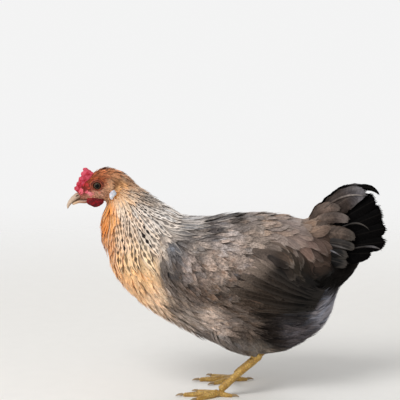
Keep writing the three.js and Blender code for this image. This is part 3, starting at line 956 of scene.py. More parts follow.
@dataclass(frozen=True)
class ScaleFinish(Finish):
    """Leg scales: hard yellow keratin plates with worn, paler crowns and dusty seams."""

    name: str = "leg_scales"
    scale: float = 3.4  # mm, the size of a small scale
    seam: float = 0.12  # share of that size
    worn: float = 9.0  # mm, the size of a worn patch
    seam_colour: str = "#8a6a34"
    plate_colour: str = "#b08433"
    worn_colour: str = "#cfa958"
    roughness: float = 0.48
    bump: float = 0.5

    def shader(self, add: AddNode) -> bpy.types.Node:
        """Adds small plates with worn crowns, and the seams between them.

        Args:
            add: add_node for the material's tree.

        Returns:
            The node that goes to the output.
        """
        where = add("TexCoord").outputs["Object"]
        plates = add("TexVoronoi", where, 1 / (self.scale * MM), feature="DISTANCE_TO_EDGE")
        seam = add("MapRange", plates, 0.0, self.seam)
        worn = add("TexNoise", where, 1 / (self.worn * MM), 4.0)
        worn = add("MapRange", worn, 0.38, 0.62)
        colours = (linear(colour) for colour in (self.plate_colour, self.worn_colour))
        plate = add("Mix", worn, *colours, data_type="RGBA")
        colour = add("Mix", seam, linear(self.seam_colour), plate, data_type="RGBA")
        relief = add("Bump", {"Strength": self.bump, "Distance": 0.3 * MM, "Height": seam})
        return add("BsdfPrincipled", {
            "Base Color": colour, "Roughness": self.roughness, "IOR": 1.5, "Normal": relief,
        })  # fmt: skip


@dataclass(frozen=True)
class StudioFinish(Finish):
    """Matt painted studio floor, pale and faintly grained, which fades into the background."""

    name: str = "studio_floor"
    colour: str = "#eeece8"
    fade: Pair = (0.5, 1.6)  # m

    def shader(self, add: AddNode) -> bpy.types.Node:
        """Adds faintly grained paint that fades away with the distance.

        Args:
            add: add_node for the material's tree.

        Returns:
            The node that goes to the output.
        """
        where = add("TexCoord").outputs["Object"]
        tone = add("MapRange", add("TexNoise", where, 40.0, 3.0), *MIDDLE, 0.985, 1.0)
        paint = linear(self.colour)[:3]
        colour = add("VectorMath", paint, {"Scale": tone}, operation="SCALE")
        matt = add("BsdfPrincipled", {"Base Color": colour, "Roughness": 0.9})
        reach = add("VectorMath", where, operation="LENGTH")
        gone = add("MapRange", reach, *self.fade, interpolation_type="SMOOTHSTEP")
        return add("MixShader", gone, matt, add("BsdfTransparent"))


# ---------------------------------------------------------------- skin
@dataclass
class Flesh:
    """The hen's skin: the solids of flesh as one surface, drawn in by the depth of the coat."""

    nodes: tuple[str, ...] = (
        "trunk", "neck", "head", "crest", "tail_base", "undertail", "thigh_left", "thigh_right",
        "wing_left", "wing_right",
    )  # fmt: skip
    voxel: float = 2.1 * MM
    seam_fill: float = 0.4 * MM  # closes the seams between neighbouring solids
    smoothing: int = 14
    creases: tuple[tuple[str, str, float], ...] = (
        ("trunk", "thigh_left", 18),
        ("trunk", "thigh_right", 18),
        ("trunk", "neck", 16),
        ("trunk", "tail_base", 14),
        ("trunk", "undertail", 12),
        ("tail_base", "undertail", 12),
        ("head", "neck", 9),
        ("head", "crest", 8),
        ("neck", "crest", 8),
    )  # pairs of solids, and the reach of the softening in millimetres
    fullness: tuple[tuple[float, ...], ...] = (
        (-164, 200, 20, 4.5),
        (-150, 178, 18, 2.0),
        (-168, 234, 16, 2.2),
        (-60, 247, 18, 4.5),
        (12, 251, 34, 1.6),
    )  # x, z, reach and rise, in millimetres, where the body is rounder than its solids
    head_ahead: float = -138 * MM  # the head lies ahead of this and above head_floor
    head_floor: float = 255 * MM
    crease_rounds: int = 70  # how many times the creases are smoothed
    undercoat: float = 0.6  # brightness of the markings on the skin below the feathers, darkened as painted shade under the coat
    # The line of x, z in millimetres that the skin is unwrapped around.
    spine: tuple[Pair, ...] = (
        (160, 200), (120, 180), (60, 150), (-20, 150), (-90, 170), (-130, 210), (-150, 250),
        (-170, 283), (-205, 280),
    )  # fmt: skip

    def build(self) -> None:
        """Makes and dresses the skin, from copies of the solids."""
        copies = [copy_node(node, "flesh_" + node) for node in self.nodes]
        for copy in copies:
            swell(copy, self.seam_fill)
        self.skin = join(copies, "skin")
        remesh(self.skin, self.voxel, self.smoothing)
        self._keep_largest()
        self._refine_head()
        self._label()
        self._soften_creases()
        places = coordinates(self.skin)
        inward = LIE.depth(places) + self.seam_fill
        for x, z, reach, rise in self.fullness:
            gap = np.linalg.norm(places[:, [0, 2]] / MM - [x, z], axis=1) / reach
            inward -= rise * MM * np.exp(-(gap**2))
        move_vertices(self.skin, places - vertex_normals(self.skin) * inward[:, None])
        apply_modifier(self.skin, "SMOOTH", factor=0.5, iterations=3)
        self._index()
        self._colour()
        finish_piece(self.skin, SkinFinish().material(), "face_skin", *self.nodes)

    def _keep_largest(self) -> None:
        """Deletes closed pockets, which the rebuilding leaves inside the body."""
        heights = coordinates(self.skin)[:, 2]
        with editing(self.skin, "VERT", np.arange(len(heights)) == np.argmax(heights)):
            bpy.ops.mesh.select_linked()
            bpy.ops.mesh.select_all(action="INVERT")
            bpy.ops.mesh.delete(type="VERT")

    def _on_head(self, points: np.ndarray) -> np.ndarray:
        """Tells which points are on the head."""
        return (points[:, 0] < self.head_ahead) & (points[:, 2] > self.head_floor)

    def _refine_head(self) -> None:
        """Divides the faces of the head, which shows bare skin."""
        centres = read(self.skin.data.polygons, "center")
        with editing(self.skin, "FACE", self._on_head(centres)):
            bpy.ops.mesh.subdivide(number_cuts=2, smoothness=0.6)

    def _soften_creases(self) -> None:
        """Fills the creases where one form of the body runs into the next."""
        places = coordinates(self.skin)
        gaps = {
            node: np.array([self.trees[node].find_nearest(p)[3] for p in places.tolist()])
            for node in sorted({node for crease in self.creases for node in crease[:2]})
        }
        weight = np.zeros(len(places))
        for first, second, reach in self.creases:
            gap = np.maximum(gaps[first], gaps[second]) / (reach * MM)
            weight = np.maximum(weight, smoothstep(1.0, 0.5, gap))
        group = self.skin.vertex_groups.new(name="creases")
        for index in np.nonzero(weight > 0.01)[0].tolist():
            group.add([index], float(weight[index]), "REPLACE")
        apply_modifier(
            self.skin, "SMOOTH", factor=0.5, iterations=self.crease_rounds, vertex_group=group.name
        )

    def _label(self) -> None:
        """Makes a tree of each solid, and one of all, to tell which solid a place belongs to."""
        solids = [frame["nodes"][node] for node in self.nodes]
        places = [coordinates(solid) for solid in solids]
        faces = [triangles_of(solid) for solid in solids]
        self.trees = dict(zip(self.nodes, map(tree_of, places, faces)))
        starts = np.cumsum([0] + [len(rows) for rows in places])
        together = [rows + start for rows, start in zip(faces, starts)]
        self.solid_tree = tree_of(np.concatenate(places), np.concatenate(together))
        self.face_labels = np.repeat(np.arange(len(solids)), [len(rows) for rows in faces])

    def _index(self) -> None:
        """Keeps the skin's triangles, their smooth normals, and a tree to find the nearest."""
        self.triangles, self.places = triangles_of(self.skin), coordinates(self.skin)
        self.face_normals = unit(vertex_normals(self.skin)[self.triangles].mean(1))
        self.tree = tree_of(self.places, self.triangles)

    def _colour(self) -> None:
        """Paints the markings, darkened as painted shade under the coat, and the bare face on the
        skin.
        """
        # Painted shade: the skin under the feathers takes their markings, darkened.
        colour = MARKINGS.colour(self.places) * self.undercoat
        bare, red = BARE_FACE.cover(self.places)
        bare = (bare * self._on_head(self.places))[:, None]
        colour = np.hstack([colour * (1 - bare) + red * bare, np.ones((len(colour), 1))])
        mark_vertices(self.skin.data, "Plumage", colour)

    def snap(self, points: np.ndarray) -> tuple[np.ndarray, np.ndarray]:
        """Finds the nearest place on the skin.

        Args:
            points: rows of x, y, z.

        Returns:
            The places on the skin and the smooth normals there.
        """
        found = [self.tree.find_nearest(point) for point in points.tolist()]
        places = np.array([hit[0] for hit in found])
        return places, self.face_normals[np.array([hit[2] for hit in found])]

    def solid_at(self, points: np.ndarray) -> np.ndarray:
        """Gives the number, in nodes, of the solid nearest to each point."""
        found = [self.solid_tree.find_nearest(point)[2] for point in points.tolist()]
        return self.face_labels[np.array(found)]

    def scatter(self, count: int, rng: np.random.Generator) -> tuple[np.ndarray, np.ndarray]:
        """Picks places on the skin, evenly by area.

        Args:
            count: how many.
            rng: the source of chance.

        Returns:
            The places and the smooth normals there.
        """
        corners = self.places[self.triangles]
        area = np.linalg.norm(
            np.cross(corners[:, 1] - corners[:, 0], corners[:, 2] - corners[:, 0]), axis=1
        )
        chosen = rng.choice(len(area), count, p=area / area.sum())
        share = rng.random((count, 2))
        over = share.sum(1) > 1
        share[over] = 1 - share[over]
        weights = np.stack([1 - share.sum(1), share[:, 0], share[:, 1]], 1)[:, :, None]
        places = (corners[chosen] * weights).sum(1)
        return places, self.face_normals[chosen]

    def unwrap(self, points: np.ndarray) -> np.ndarray:
        """Unwraps the skin around the line through neck and trunk.

        Args:
            points: places on the skin.

        Returns:
            The angle around the line and the distance along it, for each point.
        """
        line = np.array(self.spine) * MM
        start, step = line[:-1], np.diff(line, axis=0)
        reach = np.linalg.norm(step, axis=1)
        before = np.concatenate([[0], np.cumsum(reach)[:-1]])
        flat = points[:, [0, 2]]
        offset = flat[:, None] - start[None]
        share = np.clip((offset * step).sum(-1) / reach**2, 0, 1)
        gap = np.linalg.norm(offset - share[..., None] * step, axis=-1)
        best = gap.argmin(1)
        rows = np.arange(len(points))
        along = before[best] + share[rows, best] * reach[best]
        heading = step[best] / reach[best][:, None]
        away = offset[rows, best]
        above = -(heading[:, 0] * away[:, 1] - heading[:, 1] * away[:, 0])
        angle = np.arctan2(points[:, 1], above)
        return np.stack([angle, along], 1)


# ---------------------------------------------------------------- feathers
@dataclass(frozen=True)
class Cut:
    """The cut of a kind of feather, from round to lance-shaped and from neat to frayed."""

    point: float  # 0 is round, 1 is lance-shaped
    fray: float  # share of the length that is loose barbs
    camber: float = 0.22  # how far the edges lie below the shaft, as a share of half the width
    rows: int = 5
    columns: int = 4


@dataclass
class Vanes:
    """Many feathers as one mesh, each a bent grid of barbs that ends in a fringe."""

    cut: Cut
    points: np.ndarray  # feather, vertex, xyz
    place: np.ndarray  # feather, vertex, (across, along, share)
    colour: np.ndarray  # feather, vertex, rgb
    marks: np.ndarray  # feather, (dash, mottling, edge)
    seed: np.ndarray
    patch: np.ndarray  # feather, uv of its root
    strips: bool = False  # a few large feathers are unwrapped side by side instead
    patch_size: float = 0.003  # of the UV map, the size of each feather's patch
    margin: float = 0.02  # share of the UV map that stays free at its edges
    narrow: float = 0.3  # share of its width that a patch has at the root

    @staticmethod
    def grid(cut: Cut) -> tuple[np.ndarray, np.ndarray]:
        """Gives the share across and along of each vertex, the fringe's last.

        Args:
            cut: the cut of the feather.

        Returns:
            Two flat arrays, of -1 to 1 across and 0 to 1 along.
        """
        across = np.linspace(-1, 1, cut.columns + 1)
        along = np.linspace(0, 1, cut.rows + 1) * (1 - cut.fray)
        u, v = np.meshgrid(across, along)
        tips = (across[1:] + across[:-1]) / 2
        return np.concatenate([u.ravel(), tips]), np.concatenate([v.ravel(), np.ones(len(tips))])

    @staticmethod
    def outline(cut: Cut, v: np.ndarray) -> np.ndarray:
        """Gives how wide a vane is along its length.

        Args:
            cut: the cut of the vane.
            v: shares of the length.

        Returns:
            The share of the full width at each.
        """
        base = np.clip(0.3 + 1.6 * v, 0, 1)
        round_end = base * np.sqrt(np.clip(1 - 0.55 * v**4, 0, 1))
        lance = 0.22 * (1 - v) + np.sin(np.pi * np.clip(v, 0, 1) ** 0.8) ** 0.8
        return (1 - cut.point) * round_end + cut.point * np.clip(lance, 0.06, 1)

    def faces(self) -> list[list[int]]:
        """Lists the faces of every feather, with normals away from the body."""
        rows, wide = self.cut.rows, self.cut.columns + 1
        quads = [
            [r * wide + c, (r + 1) * wide + c, (r + 1) * wide + c + 1, r * wide + c + 1]
            for r in range(rows)
            for c in range(wide - 1)
        ]
        first_tip = (rows + 1) * wide
        tips = [[rows * wide + c, first_tip + c, rows * wide + c + 1] for c in range(wide - 1)]
        offsets = np.arange(len(self.points)) * self.points.shape[1]
        made: list[list[int]] = []
        for part in (np.array(quads), np.array(tips)):
            made += (part[None] + offsets[:, None, None]).reshape(-1, part.shape[1]).tolist()
        return made

    def build(self, name: str) -> bpy.types.Object:
        """Builds the piece with its attributes and its unwrap.

        Args:
            name: the piece's name.

        Returns:
            The piece, not dressed yet.
        """
        mesh = bpy.data.meshes.new(name)
        mesh.from_pydata(self.points.reshape(-1, 3).tolist(), [], self.faces())
        shape = self.points.shape[:2]
        seed = np.broadcast_to(self.seed[:, None, None], (*shape, 1))
        marks = np.broadcast_to(self.marks[:, None], (*shape, 3))
        beside = np.broadcast_to(np.abs(self.grid(self.cut)[0])[None, :, None], (*shape, 1))
        mark_vertices(mesh, "Plumage", np.concatenate([self.colour, seed], 2))
        mark_vertices(mesh, "Vane", self.place)
        mark_vertices(mesh, "Marks", np.concatenate([marks, beside], 2))
        corners = np.empty(len(mesh.loops), int)
        mesh.loops.foreach_get("vertex_index", corners)
        layer = mesh.uv_layers.new(name="OFBake")
        layer.data.foreach_set("uv", self._unwrap()[corners].ravel())
        piece = bpy.data.objects.new(name, mesh)
        bpy.context.scene.collection.objects.link(piece)
        return piece

    def _unwrap(self) -> np.ndarray:
        """Gives each vertex its place on the UV map, each feather having a patch of its own."""
        u, v = self.grid(self.cut)
        across = 0.5 + 0.5 * u * (self.narrow + (1 - self.narrow) * v)
        if self.strips:
            count = len(self.points)
            column = (np.arange(count)[:, None] + 0.05 + 0.9 * across) / count
            row = np.broadcast_to(self.margin + (1 - 2 * self.margin) * v, column.shape)
            return np.stack([column, row], 2).reshape(-1, 2)
        low, high = self.patch.min(0), self.patch.max(0)
        root = self.margin + 0.955 * (self.patch - low) / (high - low)
        local = np.stack([across, v], 1) * self.patch_size
        return (root[:, None] + local[None]).reshape(-1, 2)


@dataclass(frozen=True, kw_only=True)
class Habit:
    """How the feathers of one kind are cut, and how they lie."""

    cut: Cut
    turn: float = 5.0  # degrees by which a feather may stray from the lie
    lift: float = 1.0  # share of the coat's depth that the tips rise to
    ruffle: float = 0.12  # how far feathers differ in height
    roll: float = 0.1  # how far a feather tilts to one side, as a slope
    anchor: float = 0.75  # share of its length at which a feather takes its colour
    stiff: bool = False  # a stiff feather keeps flat across, and doesn't follow every hollow


@dataclass(frozen=True)
class Tract(Habit):
    """A tract of feathers, whose sizes change from one end to the other.

    Each pair of sizes is for its first and its last end, in millimetres.
    """

    piece: str
    slot: str
    finish: FeatherFinish
    ends: tuple[Pair, Pair]
    spacing: Pair
    length: Pair
    width: Pair
    stretch: float = 1.0  # how much further apart the roots are along the lie than across it
    over: float = 0.0  # millimetres by which its lowest feathers lie over the wing
    high_up: Pair = (0.198, 0.22)  # m, the heights over which that ends
    far_back: Pair = (0.08, 0.09)  # m, and how far back

    def share(self, points: np.ndarray) -> np.ndarray:
        """Finds how far along the tract points are.

        Args:
            points: the points.

        Returns:
            For each, 0 at the first end and 1 at the last.
        """
        start, end = (np.array(e) * MM for e in self.ends)
        step = end - start
        return np.clip(((points[:, [0, 2]] - start) @ step) / (step @ step), 0, 1)

    def between(self, pair: Pair, share: np.ndarray) -> np.ndarray:
        """Blends a pair of sizes, in metres."""
        return (pair[0] + (pair[1] - pair[0]) * share) * MM

    def height(self, roots: np.ndarray) -> np.ndarray:
        """Gives how far each feather is raised over the wing: those low down, before the tail."""
        high = smoothstep(*self.high_up, roots[:, 2])
        return self.over * MM * (1 - high) * (1 - smoothstep(*self.far_back, roots[:, 0]))


@dataclass
class FeatherLayer:
    """Lays feathers on the skin, each along the lie of the coat."""

    flesh: Flesh
    rng: np.random.Generator
    least_rise: float = 0.12 * MM  # no feather comes nearer to the skin
    rises: Pair = (0.6, 1.25)  # the least and the most of its height that a feather may have
    half_width: float = 79 * MM  # beyond it on either side, feathers are pressed in
    press: float = 0.17  # share of the distance beyond it
    spread: float = 1.1  # how much wider than the vane its loose barbs stand
    wavy_sides: float = 0.05  # share of the half width by which the sides waver
    wavy_rows: float = 0.03  # share of the length by which the rows of barbs waver
    wavy_end: float = 0.45  # share of the fray by which the loose barbs differ in length
    evened: float = 0.6  # how far a stiff feather is evened out, and a soft one of one colour
    warmth: float = 0.035  # how far feathers differ in warmth
    swept: Pair = (0.75, 0.35)  # share of the half width by which a tip's sides trail behind the
    # shaft, and how much less they do on a lance-shaped feather
    root_rise: float = 0.12  # share of its height that a feather has at its root
    curve: float = 0.85  # 1 would be a straight rise

    def thin_out(
        self, points: np.ndarray, ways: np.ndarray, spacing: np.ndarray, stretch: float
    ) -> np.ndarray:
        """Keeps points that are no nearer to each other than their spacing.

        Args:
            points: candidates, in random order.
            ways: the lie of the coat at each.
            spacing: the least distance across the lie for each.
            stretch: how much further apart they are along the lie.

        Returns:
            The indices of the points kept.
        """
        kept: list[int] = []
        step = 2 ** (1 / 4)
        classes = np.round(np.log(spacing) / math.log(step)).astype(int)
        squash = 1 - 1 / stretch**2
        for level in np.unique(classes):
            gap = step**level
            cell = gap * stretch
            grid: dict[tuple[int, int, int], list[tuple[float, float, float]]] = {}
            for index in np.nonzero(classes == level)[0].tolist():
                x, y, z = points[index].tolist()
                p, q, r = ways[index].tolist()
                i, j, k = int(x // cell), int(y // cell), int(z // cell)
                near = (
                    (x - o[0], y - o[1], z - o[2])
                    for a in (i - 1, i, i + 1)
                    for b in (j - 1, j, j + 1)
                    for c in (k - 1, k, k + 1)
                    for o in grid.get((a, b, c), ())
                )
                if all(
                    d * d + e * e + f * f - squash * (d * p + e * q + f * r) ** 2 > gap * gap
                    for d, e, f in near
                ):
                    grid.setdefault((i, j, k), []).append((x, y, z))
                    kept.append(index)
        return np.array(kept)

    def lay(
        self,
        roots: np.ndarray,
        normals: np.ndarray,
        length: np.ndarray,
        width: np.ndarray,
        height: np.ndarray,
        habit: Habit,
        way: Callable[[np.ndarray, np.ndarray], np.ndarray] = LIE.way,
    ) -> Vanes:
        """Bends a feather over the skin from each root.

        Args:
            roots: places on the skin.
            normals: the skin's normals there.
            length: each feather's length.
            width: each feather's full width.
            height: how much higher than its habit each feather lies.
            habit: how they are cut, and how they stray, rise and roll.
            way: gives the direction at points with normals.

        Returns:
            The feathers.
        """
        cut, rng, count = habit.cut, self.rng, len(roots)
        u, v = Vanes.grid(cut)
        turn = np.radians(rng.normal(0, habit.turn, count))
        stray_cos, stray_sin = np.cos(turn)[:, None], np.sin(turn)[:, None]
        levels = np.concatenate([np.linspace(0, 1 - cut.fray, cut.rows + 1), [1.0]])
        place, normal = roots.copy(), normals.copy()
        spine, ways, ups = [], [], []
        for number, level in enumerate(levels):
            ahead = way(place, normal)
            ahead = unit(ahead * stray_cos + np.cross(normal, ahead) * stray_sin)
            spine.append(place)
            ways.append(ahead)
            ups.append(normal)
            if number + 1 < len(levels):
                step = (levels[number + 1] - level) * length[:, None]
                place, normal = self.flesh.snap(place + ahead * step)
        all_ups = np.stack(ups, 1)
        if habit.stiff:
            mean = all_ups.mean(1, keepdims=True)
            all_ups = unit((1 - self.evened) * all_ups + self.evened * mean)
        on_rows = np.repeat(np.arange(cut.rows + 1), cut.columns + 1)
        row = np.concatenate([on_rows, np.full(cut.columns, cut.rows + 1)])
        centre, ahead, up = np.stack(spine, 1)[:, row], np.stack(ways, 1)[:, row], all_ups[:, row]

        # The flat shape: the edges trail behind the shaft, and the barbs at the end part.
        half = Vanes.outline(cut, v)[None] * width[:, None] / 2
        jitter = rng.uniform(-1, 1, (count, len(u)))
        is_tip = v >= 1
        across = u[None] * half * np.where(is_tip, self.spread, 1.0)
        across = across * (1 + self.wavy_sides * jitter)
        drop = (u**2 * v * (self.swept[0] - self.swept[1] * cut.point))[None] * width[:, None] / 2
        wavy = np.where(is_tip, self.wavy_end * cut.fray, self.wavy_rows)
        back = wavy[None] * length[:, None] * jitter - drop
        flat = centre + np.cross(up, ahead) * across[..., None] + ahead * back[..., None]
        surface, upward = flat, up
        if not habit.stiff:
            surface, upward = (a.reshape(flat.shape) for a in self.flesh.snap(flat.reshape(-1, 3)))

        # The height over the skin: from the root up to the coat's depth, lower at the edges.
        depth = LIE.depth(surface.reshape(-1, 3)).reshape(count, -1)
        rise = self.root_rise + (1 - self.root_rise) * np.clip(v, 0, 1)[None] ** self.curve
        ruffle = 1 + habit.ruffle * rng.normal(0, 1, (count, 1))
        rise = depth * rise * habit.lift * np.clip(ruffle, *self.rises)
        camber = cut.camber * half * (u**2)[None] * np.clip(v * 2, 0, 1)[None]
        roll = rng.normal(0, habit.roll, (count, 1)) * across
        rise = np.maximum(rise - camber + roll, self.least_rise) + height[:, None]
        points = surface + upward * rise[..., None]
        y = points[..., 1]
        points[..., 1] -= np.sign(y) * self.press * np.maximum(np.abs(y) - self.half_width, 0)

        # The colour: that of the markings at the feather's end, a little its own.
        bared = roots + ways[0] * length[:, None] * habit.anchor
        own_colour = MARKINGS.colour(points.reshape(-1, 3)).reshape(points.shape)
        if not habit.stiff:
            whole = MARKINGS.colour(bared)[:, None]
            own_colour = (1 - self.evened) * own_colour + self.evened * whole
        marks = MARKINGS.marks(bared)
        differ = np.exp(rng.normal(0, 1, (count, 1)) * marks[:, 3:4])
        warm = 1 + rng.normal(0, self.warmth, (count, 1)) * np.array([[1.0, 0.0, -1.0]])
        shares = np.broadcast_to(v[None], across.shape)
        along = shares * length[:, None] + back
        return Vanes(
            cut=cut,
            points=points,
            place=np.stack([across / MM, along / MM, shares], 2),
            colour=own_colour * (differ * warm)[:, None],
            marks=marks[:, :3],
            seed=rng.random(count),
            patch=self.flesh.unwrap(roots),
        )


class TractName(Enum):
    """The tracts of the coat."""

    FACE = 0
    CREST = 1
    HACKLE = 2
    BREAST = 3
    BACK = 4
    SADDLE = 5
    FLANK = 6
    VENT = 7
    THIGH = 8
    WING = 9
    EAR = 10


TRACT_OF_SOLID = {
    "head": TractName.FACE,
    "crest": TractName.CREST,
    "neck": TractName.HACKLE,
    "undertail": TractName.VENT,
    "tail_base": TractName.SADDLE,
    **{"thigh_" + side.label: TractName.THIGH for side in Side},
    **{"wing_" + side.label: TractName.WING for side in Side},
}

SOFT = FeatherFinish("body_feathers", streak=0.34, lengthwise=0.8, dash_half=0.2)
SILKY = FeatherFinish(
    "hackle_feathers", roughness=0.5, streak=0.2, covered=0.75, edge=0.5, side_edge=0.8,
    edge_colour="#fff0e2",
)  # fmt: skip
FIRM = FeatherFinish(
    "wing_coverts", roughness=0.55, streak=0.42, lengthwise=0.7, covered=0.33, edge=0.5,
    shaft=0.1, fleck=3.0, tint=0.3,
)  # fmt: skip
FLUFF = FeatherFinish(
    "fluff_feathers", roughness=0.85, streak=0.36, lengthwise=0.9, specular=0.05
)
FLIGHT = FeatherFinish(
    "flight_feathers", roughness=0.5, streak=0.3, lengthwise=0.3, covered=0.8, edge=0.1,
    side_edge=0.12, shaft=0.06, fleck=2.0, specular=0.04,
)  # fmt: skip
GLOSSY = FeatherFinish(
    "tail_coverts", roughness=0.4, streak=0.5, barb=2.0, lengthwise=0.5, covered=0.85, edge=0.4,
    shaft=0.1, fleck=8.0, specular=0.08,
)  # fmt: skip
BLACK = FeatherFinish(
    "tail_feathers", roughness=0.45, streak=0.2, lengthwise=0.3, covered=0.8, edge=0.0,
    shaft=0.02, specular=0.01,
)  # fmt: skip

TRACTS = {
    TractName.FACE: Tract(
        "coat_face", "face_skin", SOFT, ((-195, 280), (-148, 275)), (1.5, 1.9), (3.2, 6.0),
        (1.2, 2.0), cut=Cut(0.5, 0.35, rows=3, columns=2), turn=12, ruffle=0.3,
    ),
    TractName.EAR: Tract(
        "coat_ear_tufts", "face_skin", SOFT, ((-163, 288), (-152, 280)), (1.3, 1.4), (6.5, 7.0),
        (1.8, 2.2), cut=Cut(0.6, 0.35, rows=4, columns=2), turn=7, lift=1.9, ruffle=0.25, anchor=0.1,
    ),
    TractName.CREST: Tract(
        "coat_crest", "crest_feathers", SOFT, ((-188, 300), (-125, 290)), (2.1, 2.8), (7, 30),
        (2.2, 4.4), cut=Cut(0.7, 0.3, rows=6, columns=3), turn=9, lift=1.08, ruffle=0.4, anchor=0.5,
    ),
    TractName.HACKLE: Tract(
        "coat_hackle", "hackle_feathers", SILKY, ((-150, 280), (-120, 205)), (2.6, 5.7), (16, 52),
        (3.6, 8.8), cut=Cut(0.7, 0.1, rows=9, columns=4), turn=2.5, lift=1.1, stretch=2.9,
    ),
    TractName.BREAST: Tract(
        "coat_breast", "body_feathers", SOFT, ((-165, 200), (-80, 110)), (3.1, 3.6), (24, 30),
        (6, 8), cut=Cut(0.45, 0.32), turn=8, lift=1.2, ruffle=0.22, stretch=1.5, anchor=0.4,
    ),
    TractName.BACK: Tract(
        "coat_back", "body_feathers", SOFT, ((-70, 240), (30, 240)), (3.6, 6.0), (28, 34),
        (6, 14), cut=Cut(0.35, 0.2, rows=7, columns=5), turn=7, lift=1.02, ruffle=0.14, stretch=1.6,
    ),
    TractName.SADDLE: Tract(
        "coat_saddle", "body_feathers", SOFT, ((30, 240), (105, 215)), (6.0, 8.5), (34, 44),
        (14, 20), cut=Cut(0.25, 0.1, rows=8, columns=7), turn=7, ruffle=0.15, stretch=1.3, over=6.0,
    ),
    TractName.FLANK: Tract(
        "coat_flank", "body_feathers", FLUFF, ((-80, 110), (90, 90)), (3.4, 3.9), (26, 30),
        (6.5, 8), cut=Cut(0.5, 0.42, rows=4, columns=5), turn=11, ruffle=0.28, stretch=1.4,
    ),
    TractName.VENT: Tract(
        "coat_vent", "fluff_feathers", FLUFF, ((100, 100), (170, 170)), (3.8, 4.2), (26, 30),
        (6.5, 8.5), cut=Cut(0.45, 0.42, rows=4, columns=5), turn=11, ruffle=0.3, stretch=1.3,
    ),
    TractName.THIGH: Tract(
        "coat_thigh", "fluff_feathers", FLUFF, ((0, 100), (45, 55)), (4.0, 2.6), (24, 14),
        (7, 3.4), cut=Cut(0.45, 0.42, rows=4), turn=10, ruffle=0.25,
    ),
    TractName.WING: Tract(
        "coat_wing", "wing_feathers", FIRM, ((-90, 195), (45, 170)), (5.8, 9.4), (22, 44),
        (11, 20), cut=Cut(0.3, 0.2, rows=8, columns=8), turn=9, lift=0.85, ruffle=0.18, stretch=1.4,
    ),
}  # fmt: skip


@dataclass
class Coat:
    """The coat of contour feathers, tract by tract."""

    flesh: Flesh
    seed: int = 11
    candidates: int = 420_000
    candidate_gap: float = 2.6 * MM  # about how far apart the candidates lie, on the safe side
    spare: float = 1.6  # how many more of them than that are tried
    # The borders between tracts, in millimetres: a place along X or Z or both, or a slanting line
    # as where it is at a place, how steeply it moves from there, and that place.
    saddle_x: float = 32
    flank_z: float = 135
    vent: Pair = (95, 172)
    breast: tuple[float, float, float] = (-72, -0.25, 160)
    hackle: Pair = (-42, 226)  # over the back
    hackle_line: tuple[float, float, float] = (188, 1.8, -108)  # over the breast
    throat_x: float = -156
    ear: tuple[Pair, Pair] = ((-162, 286.5), (4.8, 4.2))  # the tuft's middle and its reach
    flights: tuple[float, float, float] = (14, 0.85, 150)

    def tract_of(self, points: np.ndarray, chance: np.ndarray) -> np.ndarray:
        """Tells which tract each place on the skin belongs to.

        Args:
            points: places on the skin.
            chance: how bare each place on the face may be and still grow a feather.

        Returns:
            The tract's number, or -1 where no feather grows.
        """
        x, z = points[:, 0] / MM, points[:, 2] / MM
        tract = np.full(len(points), TractName.BACK.value)
        for name, inside in (
            (TractName.SADDLE, x > self.saddle_x),
            (TractName.FLANK, z < self.flank_z),
            (TractName.VENT, (x > self.vent[0]) & (z < self.vent[1])),
            (TractName.BREAST, x < on_line(z, *self.breast)),
        ):
            tract[inside] = name.value
        # The longest hackle feathers have their roots beyond the neck.
        over_back = (x < self.hackle[0]) & (z > self.hackle[1])
        over_back &= tract == TractName.BACK.value
        level, slope, start = self.hackle_line
        over_breast = (x > self.throat_x) & (z > on_line(np.maximum(x, start), level, slope, start))
        over_breast &= tract == TractName.BREAST.value
        tract[over_back | over_breast] = TractName.HACKLE.value
        solid = self.flesh.solid_at(points)
        for node, name in TRACT_OF_SOLID.items():
            tract[solid == self.flesh.nodes.index(node)] = name.value
        middle, reach = self.ear
        in_tuft = np.hypot((x - middle[0]) / reach[0], (z - middle[1]) / reach[1]) < 1
        tract[(tract == TractName.FACE.value) & in_tuft] = TractName.EAR.value
        # The rear of the wing shows its flights, and the bare face its skin.
        under_flights = x > on_line(z, *self.flights)
        bare, _ = BARE_FACE.cover(points)
        for name, empty in ((TractName.WING, under_flights), (TractName.FACE, bare > chance)):
            tract[(tract == name.value) & empty] = -1
        return tract

    def build(self) -> None:
        """Lays and dresses every tract."""
        rng = np.random.default_rng(self.seed)
        layer = FeatherLayer(self.flesh, rng)
        points, normals = self.flesh.scatter(self.candidates, rng)
        tracts = self.tract_of(points, rng.uniform(0.2, 0.9, len(points)))
        for name, tract in TRACTS.items():
            chosen = np.nonzero(tracts == name.value)[0]
            spacing = tract.between(tract.spacing, tract.share(points[chosen]))
            # Where the spacing is wide, far fewer candidates than the skin holds are enough.
            enough = np.minimum(1, (self.candidate_gap / spacing) ** 2 * self.spare)
            tried = rng.random(len(chosen)) < enough
            chosen, spacing = chosen[tried], spacing[tried]
            ways = LIE.way(points[chosen], normals[chosen])
            chosen = chosen[layer.thin_out(points[chosen], ways, spacing, tract.stretch)]
            parts = {"": chosen}
            if name in (TractName.THIGH, TractName.WING):
                y = points[chosen, 1]
                parts = {"_" + side.label: chosen[y * side.value > 0] for side in Side}
            for suffix, roots in parts.items():
                share = tract.share(points[roots])
                vary = np.exp(rng.normal(0, 0.1, len(roots)))
                vanes = layer.lay(
                    points[roots],
                    normals[roots],
                    tract.between(tract.length, share) * vary,
                    tract.between(tract.width, share) * vary,
                    tract.height(points[roots]),
                    tract,
                )
                piece = vanes.build(tract.piece + suffix)
                finish_piece(piece, tract.finish.material(), tract.slot)


